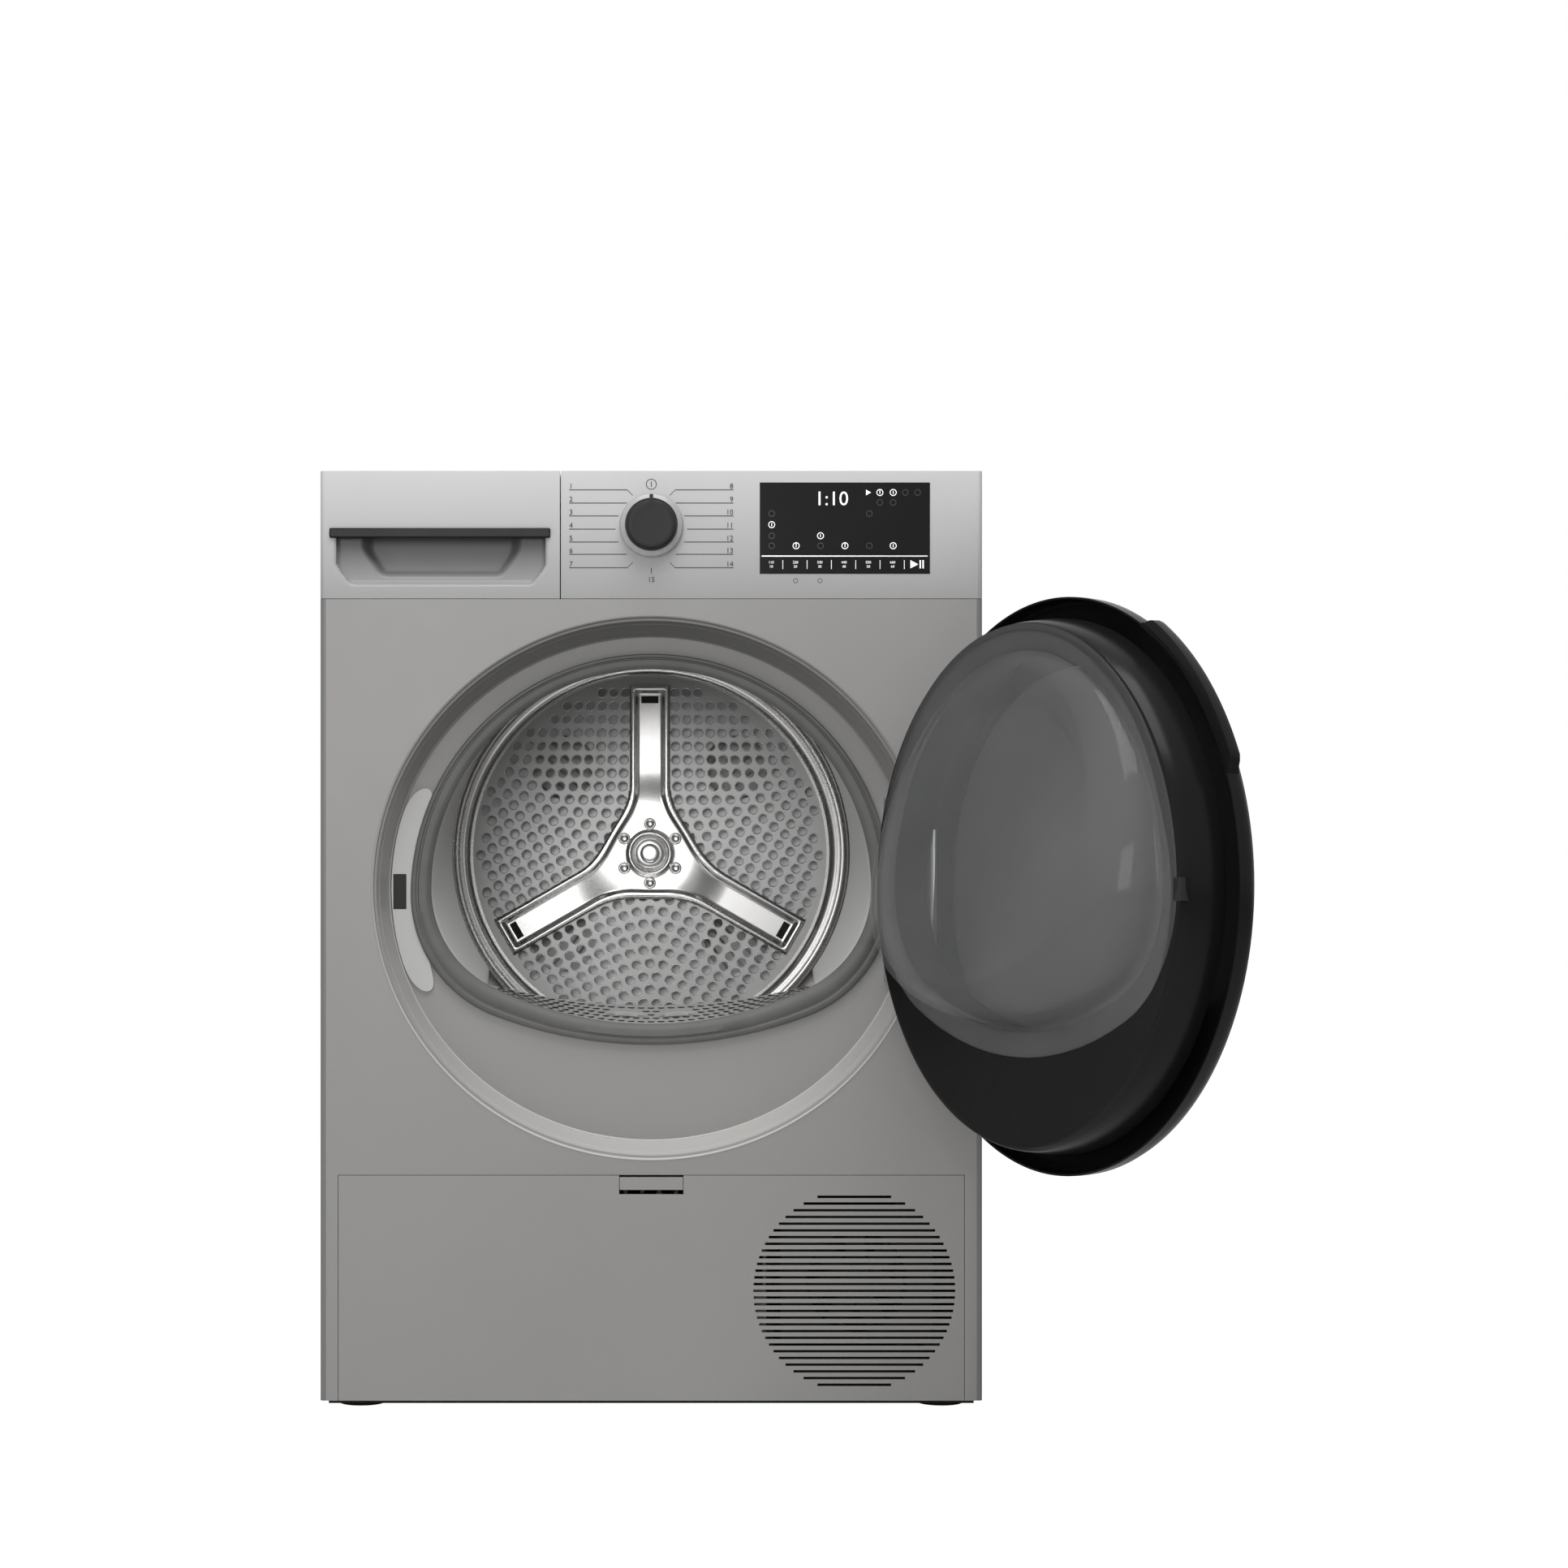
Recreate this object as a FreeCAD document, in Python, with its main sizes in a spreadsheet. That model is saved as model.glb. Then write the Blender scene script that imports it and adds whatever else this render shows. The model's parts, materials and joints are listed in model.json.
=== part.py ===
import FreeCAD, Part
import math
import os
import re
import Sketcher

# A front-loading heat pump clothes dryer, in millimetres.
# X runs to the right, Y runs into the machine and Z up, from the centre of the
# cabinet's footprint on the floor. The door stands open at door_open degrees.

SIZES = [
    ("cab_w", 597, "cabinet width"),
    ("cab_h", 846, "cabinet height"),
    ("cab_d", 609, "cabinet depth"),
    ("front_y", "=-cab_d / 2", "front plane of the cabinet"),
    ("rear_y", "=cab_d / 2", "rear plane of the cabinet"),
    ("foot_gap", 8, "floor to the cabinet's lower edge"),
    ("skin", 1, "steel sheet"),
    ("hem", 4.8, "width of the rolled front edge of a side panel"),
    ("hem_r", 4, "rounding of that edge"),
    ("seam", 0.5, "gap between visible panels"),
    ("fascia_h", 115, "height of the fascia"),
    ("fascia_d", 30, "depth of the fascia"),
    ("fascia_wall", 2.5, "moulded wall of the fascia"),
    ("lid_h", 25, "thickness of the top panel"),
    ("split_x", -81.5, "split between the water drawer and the fascia"),
    ("tray_h", 50, "height of the base tray"),
    ("tray_wall", 3, "wall of the base tray"),
    ("recess_a", 251, "door recess, half width at the front"),
    ("recess_b", 244, "door recess, half height at the front"),
    ("floor_a", 238, "door recess, half width at its floor"),
    ("floor_b", 229.5, "door recess, half height at its floor"),
    ("recess_d", 34, "door recess depth"),
    ("door_z", 470, "height of the door centre"),
    ("mouth_z", 469.5, "height of the mouth centre"),
    ("mouth_r", 200.5, "radius of the mouth's upper half"),
    ("mouth_w", 100.5, "half spacing of the mouth's corner centres"),
    ("mouth_drop", 123.3, "mouth centre to its lowest point"),
    ("seal_w", 18.5, "width of the door seal"),
    ("seal_t", 6, "thickness of the door seal"),
    ("drum_z", 509, "height of the drum axis"),
    ("drum_r", 287, "inner radius of the drum"),
    ("neck_r", 213, "inner radius of the drum neck"),
    ("drum_wall", 1.2, "drum sheet"),
    ("drum_front", "=front_y + 92.5", "front edge of the drum neck"),
    ("drum_back_y", "=rear_y - 129.5", "drum back wall"),
    ("bulk_y", "=front_y + 73.5", "front bulkhead"),
    ("funnel_r", 185, "radius of the funnel's rear edge"),
    ("funnel_z", 503, "height of the funnel's rear edge centre"),
    ("funnel_end", "=front_y + 91", "rear edge of the funnel"),
    ("funnel_wall", 2.5, "funnel wall"),
    ("collar_wall", 3, "wall of the drum collar"),
    ("felt_t", 3.7, "felt ring thickness"),
    ("run_gap", 0.3, "clearance between parts that move past each other"),
    ("filter_w", 300, "lint filter width"),
    ("filter_t", 15.3, "lint filter thickness"),
    ("filter_low", 214, "lower edge of the lint filter"),
    ("cap_d", 36, "depth of the lint filter's top"),
    ("slide_gap", 0.5, "clearance round a sliding part"),
    ("star_reach", 180, "reach of the star arms"),
    ("star_w", 44, "width of a star arm"),
    ("star_t", 10, "thickness of a star arm"),
    ("star_groove", 20, "width of the channel in a star arm"),
    ("hub_r", 40, "star hub radius"),
    ("shaft_r", 12.5, "drum shaft radius"),
    ("shaft_gap", 0.05, "running clearance of a shaft"),
    ("bush_r", 18, "outer radius of the drum bush"),
    ("wall_y", "=rear_y - 104.5", "rear bulkhead"),
    ("lifter_h", 42, "height of a drum lifter"),
    ("door_a", 248.5, "door half width"),
    ("door_b", 241.5, "door half height"),
    ("door_back", 7.5, "door rim in front of the cabinet front"),
    ("door_t", 20.5, "door rim thickness"),
    ("crown", 9, "crown of the door front"),
    ("shell_wall", 3, "wall of the door shell"),
    ("window_a", 190, "door window half width"),
    ("window_b", 184, "door window half height"),
    ("plug_a", 228, "door frame half width"),
    ("plug_b", 222, "door frame half height"),
    ("plug_t", 35, "height of the door frame"),
    ("bowl_inset", 5, "door bowl base inside the mouth"),
    ("bowl_wall", 4, "glass thickness"),
    ("bowl_d", 40, "least depth of the bowl's nose"),
    ("nose_a", 150, "half width of the bowl's nose"),
    ("nose_b", 118, "half height of the bowl's nose"),
    ("nose_tilt", 15, "tilt of the bowl's nose in degrees"),
    ("hinge_x", 232, "door hinge axis"),
    ("hinge_y", "=front_y - 11.5", "door hinge axis"),
    ("pin_r", 4, "hinge pin radius"),
    ("knuckle_r", 8, "hinge knuckle radius"),
    ("hinge_top", 552, "top of the hinge"),
    ("hinge_low", 386, "bottom of the hinge"),
    ("lug_top", 30, "height of the upper lug"),
    ("lug_low", 17, "height of the lower lug"),
    ("lug_t", 8, "thickness of a lug"),
    ("lug_gap", 1.5, "clearance round a lug"),
    ("door_open", 117.2, "opening angle of the door as stored"),
    ("kick_w", "=cab_w - 33", "kick plate width"),
    ("kick_top", 211, "top of the kick plate"),
    ("kick_t", 2.5, "kick plate wall"),
    ("kick_rim", 12, "depth of the kick plate's rim"),
    ("grille_x", 183, "grille centre"),
    ("grille_z", 107, "grille centre"),
    ("grille_r", 91, "grille radius"),
    ("slot_pitch", 6.05, "louvre pitch"),
    ("slot_t", 2.4, "louvre slot height"),
    ("fan_r", 46, "cooling fan opening"),
    ("fan_x", 187.5, "cooling fan axis"),
    ("fan_z", 111, "cooling fan axis"),
    ("case_y", "=front_y + 42.5", "front of the heat pump case"),
    ("case_end", "=rear_y - 124.5", "rear of the heat pump case"),
    ("knob_x", 0, "knob centre"),
    ("knob_z", 796.5, "knob centre"),
    ("knob_r", 28.5, "knob skirt radius"),
    ("knob_face", 22, "knob face radius"),
    ("knob_t", 17, "knob height"),
    ("stem_r", 9, "knob stem radius"),
    ("glass_x", 174.5, "display centre"),
    ("glass_z", 794.4, "display centre"),
    ("glass_w", 153, "display width"),
    ("glass_h", 81.8, "display height"),
    ("grip_z", 785.6, "lower edge of the drawer's grip strip"),
    ("grip_t", 8.8, "height of the grip strip"),
    ("scoop_d", 20, "depth of the drawer scoop"),
    ("tank_low", "=cab_h - fascia_h + 3", "lowest point of the water tank"),
    ("tank_end", "=rear_y - 154.5", "rear end of the water tank"),
    ("tank_wall", 2.5, "water tank wall"),
    ("belt_y", -60, "belt plane"),
    ("belt_w", 12, "belt width"),
    ("belt_t", 2.2, "belt thickness"),
    ("motor_x", -232, "motor axis"),
    ("motor_z", 232, "motor axis"),
    ("motor_r", 50, "motor case radius"),
    ("pulley_r", 10, "motor pulley radius"),
    ("foot_r", 20, "levelling foot radius"),
    ("foot_x", "=cab_w / 2 - 34.5", "levelling foot position"),
    ("foot_y", "=cab_d / 2 - 42.5", "levelling foot position"),
]
LIFTERS = 3
STAR_ARMS = 3
LOUVRES = 29
BLADES = 7

doc = FreeCAD.newDocument("clothes_dryer")
sheet = doc.addObject("Spreadsheet::Sheet", "sizes")
ALIASES = {alias for alias, _, _ in SIZES}
PARTS = []


def fill_sheet():
    """Writes every driving dimension into the sheet, with its alias and meaning."""
    for row, (alias, number, meaning) in enumerate(SIZES, start=1):
        sheet.set(f"A{row}", meaning)
        sheet.set(f"B{row}", str(number))
        sheet.setAlias(f"B{row}", alias)
    doc.recompute()


def bound(text):
    """The expression with each alias written as a reference to its cell."""
    return re.sub(r"[a-z][a-z0-9_]*", lambda w: ("sizes." if w[0] in ALIASES else "") + w[0], text)


def size(text):
    """The number that an expression on the sheet has now."""
    return float(sheet.evalExpression(bound(text)))


def place(obj, x="0", y="0", z="0"):
    """Ties an object's position to the sheet."""
    for side, text in zip("xyz", (x, y, z)):
        obj.setExpression("Placement.Base." + side, bound(text))
    return obj


def box(name, x, y, z):
    """A block between pairs of expressions along each axis."""
    obj = doc.addObject("Part::Box", name)
    for prop, (low, high) in zip(("Length", "Width", "Height"), (x, y, z)):
        obj.setExpression(prop, bound(f"({high}) - ({low})"))
    return place(obj, x[0], y[0], z[0])


TURNS = {
    "x": FreeCAD.Rotation(FreeCAD.Vector(0, 1, 0), 90),
    "y": FreeCAD.Rotation(FreeCAD.Vector(1, 0, 0), -90),
    "z": FreeCAD.Rotation(),
}


def axis_place(obj, axis, at, start):
    """Points a primitive along an axis, from start, through the other two coordinates at."""
    obj.Placement = FreeCAD.Placement(FreeCAD.Vector(), TURNS[axis])
    spots = list(at)
    spots.insert("xyz".index(axis), start)
    return place(obj, *spots)


def rod(name, axis, at, radius, span):
    """A cylinder along an axis, over a span of expressions."""
    obj = doc.addObject("Part::Cylinder", name)
    obj.setExpression("Radius", bound(radius))
    obj.setExpression("Height", bound(f"({span[1]}) - ({span[0]})"))
    return axis_place(obj, axis, at, span[0])


def taper(name, axis, at, radii, span):
    """A cone along an axis, from the first radius to the second."""
    obj = doc.addObject("Part::Cone", name)
    obj.setExpression("Radius1", bound(radii[0]))
    obj.setExpression("Radius2", bound(radii[1]))
    obj.setExpression("Height", bound(f"({span[1]}) - ({span[0]})"))
    return axis_place(obj, axis, at, span[0])


def tube(name, axis, at, radii, span):
    """A ring of inner and outer radius."""
    bore = rod(name + "_bore", axis, at, radii[0], span)
    return cut(name, rod(name + "_round", axis, at, radii[1], span), bore)


def fuse(name, *shapes):
    """One solid out of several."""
    obj = doc.addObject("Part::MultiFuse", name)
    obj.Shapes = list(shapes)
    return obj


def cut(name, base, *tools):
    """The base less every tool."""
    obj = doc.addObject("Part::Cut", name)
    obj.Base = base
    obj.Tool = tools[0] if len(tools) == 1 else fuse(name + "_tools", *tools)
    return obj


def carve(name, base, *tools):
    """The base less each tool in turn, for curved pieces whose tools meet each other."""
    for n, tool in enumerate(tools[:-1]):
        base = cut(f"{name}_stage_{n}", base, tool)
    return cut(name, base, tools[-1])


def common(name, first, second):
    """What two shapes share."""
    obj = doc.addObject("Part::Common", name)
    obj.Base = first
    obj.Tool = second
    return obj


def group(name, shapes):
    """Like solids that share one node."""
    obj = doc.addObject("Part::Compound", name)
    obj.Links = shapes
    return obj


def oval(name, half_w, half_h, y, z="door_z", x="0"):
    """An ellipse in an upright plane that faces the front."""
    obj = doc.addObject("Part::Ellipse", name)
    obj.setExpression("MajorRadius", bound(half_w))
    obj.setExpression("MinorRadius", bound(half_h))
    obj.Placement = FreeCAD.Placement(FreeCAD.Vector(), FreeCAD.Rotation(FreeCAD.Vector(1, 0, 0), 90))
    return place(obj, x, y, z)


def loft(name, sections):
    """A solid through closed outlines."""
    obj = doc.addObject("Part::Loft", name)
    obj.Sections = sections
    obj.Solid = True
    obj.Ruled = True
    return obj


def oval_rod(name, half_w, half_h, span, z="door_z"):
    """An elliptical block along Y."""
    low, high = span
    front = oval(name + "_front", half_w, half_h, low, z)
    return loft(name, [front, oval(name + "_rear", half_w, half_h, high, z)])


def part(obj):
    """Registers a sub-part. Its label names its node and its file."""
    PARTS.append(obj)
    return obj


# Part Design helpers


def new_body(name, x="0", y="0", z="0"):
    """A Part Design body, placed from the sheet."""
    return place(doc.addObject("PartDesign::Body", name), x, y, z)


def new_sketch(body, role="XZ_Plane"):
    """A sketch on one of the body's own origin planes."""
    sketch = body.newObject("Sketcher::SketchObject", body.Name + "_sketch")
    plane = [p for p in body.Origin.OriginFeatures if p.Role == role]
    sketch.AttachmentSupport = [(plane[0], "")]
    sketch.MapMode = "FlatFace"
    return sketch


def tie(sketch, constraint, text):
    """Adds a dimension and binds it to the sheet."""
    index = sketch.addConstraint(constraint)
    sketch.setExpression(f"Constraints[{index}]", bound(text))


def polygon(sketch, corners):
    """A closed outline of straight edges, each corner held by two dimensions."""
    spots = [FreeCAD.Vector(size(x), size(y), 0) for x, y in corners]
    first = sketch.GeometryCount
    last = first + len(spots) - 1
    for n, spot in enumerate(spots):
        sketch.addGeometry(Part.LineSegment(spot, spots[(n + 1) % len(spots)]))
    for n, (x, y) in enumerate(corners):
        edge = first + n
        sketch.addConstraint(Sketcher.Constraint("Coincident", edge, 2, first if edge == last else edge + 1,
                                                 1))
        tie(sketch, Sketcher.Constraint("DistanceX", -1, 1, edge, 1, spots[n].x), x)
        tie(sketch, Sketcher.Constraint("DistanceY", -1, 1, edge, 1, spots[n].y), y)


def circle(sketch, x, y, radius):
    """A circle held by its centre and radius."""
    centre = FreeCAD.Vector(size(x), size(y), 0)
    index = sketch.addGeometry(Part.Circle(centre, FreeCAD.Vector(0, 0, 1), size(radius)))
    tie(sketch, Sketcher.Constraint("Radius", index, size(radius)), radius)
    tie(sketch, Sketcher.Constraint("DistanceX", -1, 1, index, 3, centre.x), x)
    tie(sketch, Sketcher.Constraint("DistanceY", -1, 1, index, 3, centre.y), y)


def mouth_outline(sketch, grow, drop="0"):
    """The mouth's outline: a half circle, two corner arcs and a long lower arc.

    grow widens it all round, and drop lowers its centre. The origin is the mouth's centre.
    """
    low = f"mouth_drop + {grow} - ({drop})"
    corner = f"(mouth_r - mouth_w + {grow})"
    sag = f"((mouth_w ^ 2 + ({low}) ^ 2 - {corner} ^ 2) / (2 * ({low} - {corner})))"
    top_r, corner_r, sag_r, depth = size(f"mouth_r + {grow}"), size(corner), size(sag), size(low)
    centre = FreeCAD.Vector(0, -size(drop), 0)
    below = centre + FreeCAD.Vector(0, sag_r - depth, 0)
    side = FreeCAD.Vector(size("mouth_w"), 0, 0)
    lean = math.atan2(below.y - centre.y, size("mouth_w"))
    up = FreeCAD.Vector(0, 0, 1)
    arcs = [
        (centre, top_r, 0, math.pi),
        (centre - side, corner_r, math.pi, math.pi + lean),
        (below, sag_r, math.pi + lean, 2 * math.pi - lean),
        (centre + side, corner_r, -lean, 0),
    ]
    ids = [sketch.addGeometry(Part.ArcOfCircle(Part.Circle(c, up, r), a, b)) for c, r, a, b in arcs]
    for here, there in zip(ids, ids[1:] + ids[:1]):
        sketch.addConstraint(Sketcher.Constraint("Tangent", here, 2, there, 1))
    tie(sketch, Sketcher.Constraint("DistanceX", -1, 1, ids[0], 3, 0), "0")
    tie(sketch, Sketcher.Constraint("DistanceY", -1, 1, ids[0], 3, centre.y), f"-({drop})")
    tie(sketch, Sketcher.Constraint("Radius", ids[0], top_r), f"mouth_r + {grow}")
    for n in (1, 3):
        tie(sketch, Sketcher.Constraint("Radius", ids[n], corner_r), corner)
        tie(sketch, Sketcher.Constraint("DistanceY", -1, 1, ids[n], 3, centre.y), f"-({drop})")
    tie(sketch, Sketcher.Constraint("Radius", ids[2], sag_r), sag)


def mouth_sketch(name, y, grow, z="mouth_z"):
    """A free mouth outline at depth y."""
    sketch = doc.addObject("Sketcher::SketchObject", name)
    sketch.Placement = FreeCAD.Placement(FreeCAD.Vector(), FreeCAD.Rotation(FreeCAD.Vector(1, 0, 0), 90))
    mouth_outline(sketch, grow)
    return place(sketch, "0", y, z)


def round_sketch(name, y, radius, z):
    """A circle in four arcs that pair with the arcs of the mouth outline."""
    sketch = doc.addObject("Sketcher::SketchObject", name)
    sketch.Placement = FreeCAD.Placement(FreeCAD.Vector(), FreeCAD.Rotation(FreeCAD.Vector(1, 0, 0), 90))
    whole = Part.Circle(FreeCAD.Vector(), FreeCAD.Vector(0, 0, 1), size(radius))
    stops = [math.radians(a) for a in (0, 180, 245, 295, 360)]
    ids = [sketch.addGeometry(Part.ArcOfCircle(whole, a, b)) for a, b in zip(stops, stops[1:])]
    for here, there in zip(ids, ids[1:]):
        sketch.addConstraint(Sketcher.Constraint("Coincident", here, 2, there, 1))
    tie(sketch, Sketcher.Constraint("Radius", ids[0], size(radius)), radius)
    for n in ids[1:]:
        sketch.addConstraint(Sketcher.Constraint("Coincident", ids[0], 3, n, 3))
    sketch.addConstraint(Sketcher.Constraint("Coincident", ids[0], 3, -1, 1))
    return place(sketch, "0", y, z)


def pad(body, sketch, length):
    """Pads a sketch along its plane's normal, which is the front on an XZ plane."""
    feature = body.newObject("PartDesign::Pad", body.Name + "_pad")
    feature.Profile = sketch
    feature.setExpression("Length", bound(length))
    doc.recompute()
    body.Tip = feature
    return feature


def pocket(body, sketch, length):
    """Cuts a sketch along its plane's normal, and stops if that removes nothing."""
    before = body.Shape.Volume
    feature = body.newObject("PartDesign::Pocket", body.Name + "_pocket")
    feature.Profile = sketch
    feature.Reversed = True
    feature.setExpression("Length", bound(length))
    doc.recompute()
    if feature.Shape.Volume >= before - 1:
        raise RuntimeError(body.Name + ": a pocket removed nothing")
    body.Tip = feature
    return feature


def around(body, features, count):
    """Repeats features about the body's Y axis."""
    pattern = body.newObject("PartDesign::PolarPattern", body.Name + "_pattern")
    pattern.Originals = features
    axis = [p for p in body.Origin.OriginFeatures if p.Role == "Y_Axis"]
    pattern.Axis = (axis[0], [""])
    pattern.Angle = 360
    pattern.Occurrences = count
    doc.recompute()
    body.Tip = pattern
    return pattern


def round_edges(body, base, radius, chosen):
    """Fillets the chosen edges of a feature."""
    names = [f"Edge{n}" for n, edge in enumerate(base.Shape.Edges, start=1) if chosen(edge)]
    fillet = body.newObject("PartDesign::Fillet", body.Name + "_fillet")
    fillet.Base = (base, names)
    fillet.setExpression("Radius", bound(radius))
    doc.recompute()
    body.Tip = fillet
    return fillet


def padded(name, corners, length, x="0", y="0", z="0", role="XZ_Plane"):
    """A body padded from one straight-edged outline."""
    body = new_body(name, x, y, z)
    sketch = new_sketch(body, role)
    polygon(sketch, corners)
    pad(body, sketch, length)
    return body


def turned(name, profile, z="drum_z", x="0", y="0"):
    """A body turned about the Y axis from a profile of (radius, y) corners."""
    body = new_body(name, x, y, z)
    sketch = new_sketch(body, "XY_Plane")
    polygon(sketch, profile)
    feature = body.newObject("PartDesign::Revolution", name + "_turn")
    feature.Profile = sketch
    feature.ReferenceAxis = (sketch, ["V_Axis"])
    feature.Angle = 360
    doc.recompute()
    body.Tip = feature
    return body


def rect(x0, x1, y0, y1):
    """The corners of a rectangle."""
    return [(x0, y0), (x1, y0), (x1, y1), (x0, y1)]


def upright(edge, x, y):
    """True for an edge that stands along Z at (x, y)."""
    a, b = edge.Vertexes[0].Point, edge.Vertexes[-1].Point
    flat = math.hypot(a.x - b.x, a.y - b.y) < 1e-6
    return flat and math.hypot(a.x - x, a.y - y) < 1e-3


def hang(obj):
    """Swings a piece drawn with the door shut about the hinge axis, to the stored opening."""
    obj.Placement = FreeCAD.Placement(FreeCAD.Vector(), FreeCAD.Rotation(FreeCAD.Vector(0, 0, 1),
                                                                         size("door_open")))
    obj.setExpression("Placement.Rotation.Angle", bound("door_open"))
    swung_x = "(hinge_x * cos(door_open) - hinge_y * sin(door_open))"
    swung_y = "(hinge_x * sin(door_open) + hinge_y * cos(door_open))"
    place(obj, f"hinge_x - {swung_x}", f"hinge_y - {swung_y}", "0")
    return part(obj)


# Cabinet


def side_panel(name, sign):
    """A folded steel side with a rolled front edge and a rear flange."""
    edge = f"{sign} * cab_w / 2"
    inner = f"{sign} * (cab_w / 2 - skin)"
    rolled = f"{sign} * (cab_w / 2 - hem)"
    flange = f"{sign} * (cab_w / 2 - 15)"
    front, rear = "-cab_d / 2", "cab_d / 2"
    corners = [
        (edge, front), (rolled, front), (rolled, front + " + 6"), (inner, front + " + 6"),
        (inner, rear + " - skin"), (flange, rear + " - skin"), (flange, rear), (edge, rear),
    ]
    body = padded(name + "_sheet", corners, "cab_h - lid_h - foot_gap", z="foot_gap", role="XY_Plane")
    corner_x, corner_y = size(edge), size(front)
    round_edges(body, body.Tip, "hem_r", lambda e: upright(e, corner_x, corner_y))
    notch_x = sorted((f"{sign} * (cab_w / 2 + 1)", f"{sign} * (cab_w / 2 - 10)"), key=size)
    notch = box(name + "_notch", notch_x, ("-cab_d / 2 - 1", "-cab_d / 2 + fascia_d + seam"),
                ("cab_h - fascia_h - seam", "cab_h"))
    part(cut(name, body, notch))


def base_tray():
    """The moulded tray under the machine, open at the top."""
    x, y = ("-cab_w / 2 + 6", "cab_w / 2 - 6"), ("-cab_d / 2 + 18", "cab_d / 2 - 4")
    outer = box("tray_outer", x, y, ("3", "3 + tray_h"))
    inner = box("tray_inner", (x[0] + " + tray_wall", x[1] + " - tray_wall"),
                (y[0] + " + tray_wall", y[1] + " - tray_wall"), ("3 + tray_wall", "4 + tray_h"))
    holes = [rod(f"tray_hole_{n}", "z", (f"{sx} * foot_x", f"{sy} * foot_y"), "5.3", ("0", "20"))
             for n, (sx, sy) in enumerate(((-1, -1), (1, -1), (-1, 1), (1, 1)))]
    part(cut("base_tray", outer, inner, *holes))


def levelling_feet():
    """Four screw feet under the corners of the tray."""
    feet = []
    for n, (sx, sy) in enumerate(((-1, -1), (1, -1), (-1, 1), (1, 1))):
        at = (f"{sx} * foot_x", f"{sy} * foot_y")
        pad_part = rod(f"foot_pad_{n}", "z", at, "foot_r", ("0", "2.8"))
        feet.append(fuse(f"foot_{n}", pad_part, rod(f"foot_stud_{n}", "z", at, "5", ("2.8", "30"))))
    part(group("levelling_feet", feet))


def rear_panel():
    """The steel back with two columns of air slots."""
    plate = box("rear_plate", ("-cab_w / 2 + skin + 0.2", "cab_w / 2 - skin - 0.2"),
                ("cab_d / 2 - 2 * skin", "cab_d / 2 - skin"), ("foot_gap + 50", "cab_h - lid_h"))
    slots = []
    for side in (-1, 1):
        for n in range(9):
            low = f"120 + {n} * 14"
            reach = sorted((f"{side} * 90", f"{side} * 230"), key=size)
            slots.append(box(f"rear_slot_{side + 1}_{n}", reach, ("cab_d / 2 - 4", "cab_d / 2 + 1"),
                             (low, low + " + 5")))
    ports = [rod("rear_drain_hole", "y", ("-240", "95"), "11", ("cab_d / 2 - 4", "cab_d / 2 + 1")),
             rod("rear_cord_hole", "y", ("255", "760"), "12", ("cab_d / 2 - 4", "cab_d / 2 + 1"))]
    part(cut("rear_panel", plate, *slots, *ports))


def top_panel():
    """The worktop, hollow underneath."""
    y = ("-cab_d / 2 + fascia_d + seam", "cab_d / 2")
    body = padded("top_slab", rect("-cab_w / 2", "cab_w / 2", *y), "lid_h", z="cab_h - lid_h",
                  role="XY_Plane")
    lid_top = size("lid_h")
    round_edges(body, body.Tip, "3", lambda e: all(abs(v.Z - lid_top) < 1e-3 for v in e.Vertexes))
    hollow = box("top_hollow", ("-cab_w / 2 + 4", "cab_w / 2 - 4"), (y[0] + " + 4", y[1] + " - 4"),
                 ("cab_h - lid_h - 1", "cab_h - 4"))
    part(cut("top_panel", body, hollow))


def mouth_rod(name, span, grow):
    """A block of the mouth's outline along Y."""
    ends = [mouth_sketch(f"{name}_{n}", y, grow) for n, y in enumerate(span)]
    return loft(name, ends)


def front_panel():
    """The painted front sheet with the dished door recess and the kick plate opening."""
    front = "-cab_d / 2"
    plate = box("front_plate", ("-cab_w / 2 + hem + 0.2", "cab_w / 2 - hem - 0.2"),
                (front, front + " + skin"),
                ("foot_gap", "cab_h - fascia_h - seam"))
    rear = f"{front} + recess_d"
    dish = loft("recess_outer", [oval("recess_oval_0", "recess_a + skin", "recess_b + skin", front),
                                 oval("recess_oval_1", "floor_a + skin", "floor_b + skin", rear + " + skin")])
    hollow = loft("recess_inner", [oval("recess_oval_2", "recess_a", "recess_b", front),
                                   oval("recess_oval_3", "floor_a", "floor_b", rear)])
    mouth = mouth_rod("panel_mouth", (front + " - 1", rear + " + 5"), "0")
    kick = box("kick_opening", ("-kick_w / 2 - slide_gap", "kick_w / 2 + slide_gap"),
               (front + " - 1", front + " + 5"),
               ("0", "kick_top + slide_gap"))
    slot = box("lock_slot", ("-235.5", "-222.5"), (rear + " - 5", rear + " + 5"),
               ("door_z - 19", "door_z + 13"))
    part(cut("front_panel", fuse("front_sheet", plate, dish), hollow, mouth, kick, slot))


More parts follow.
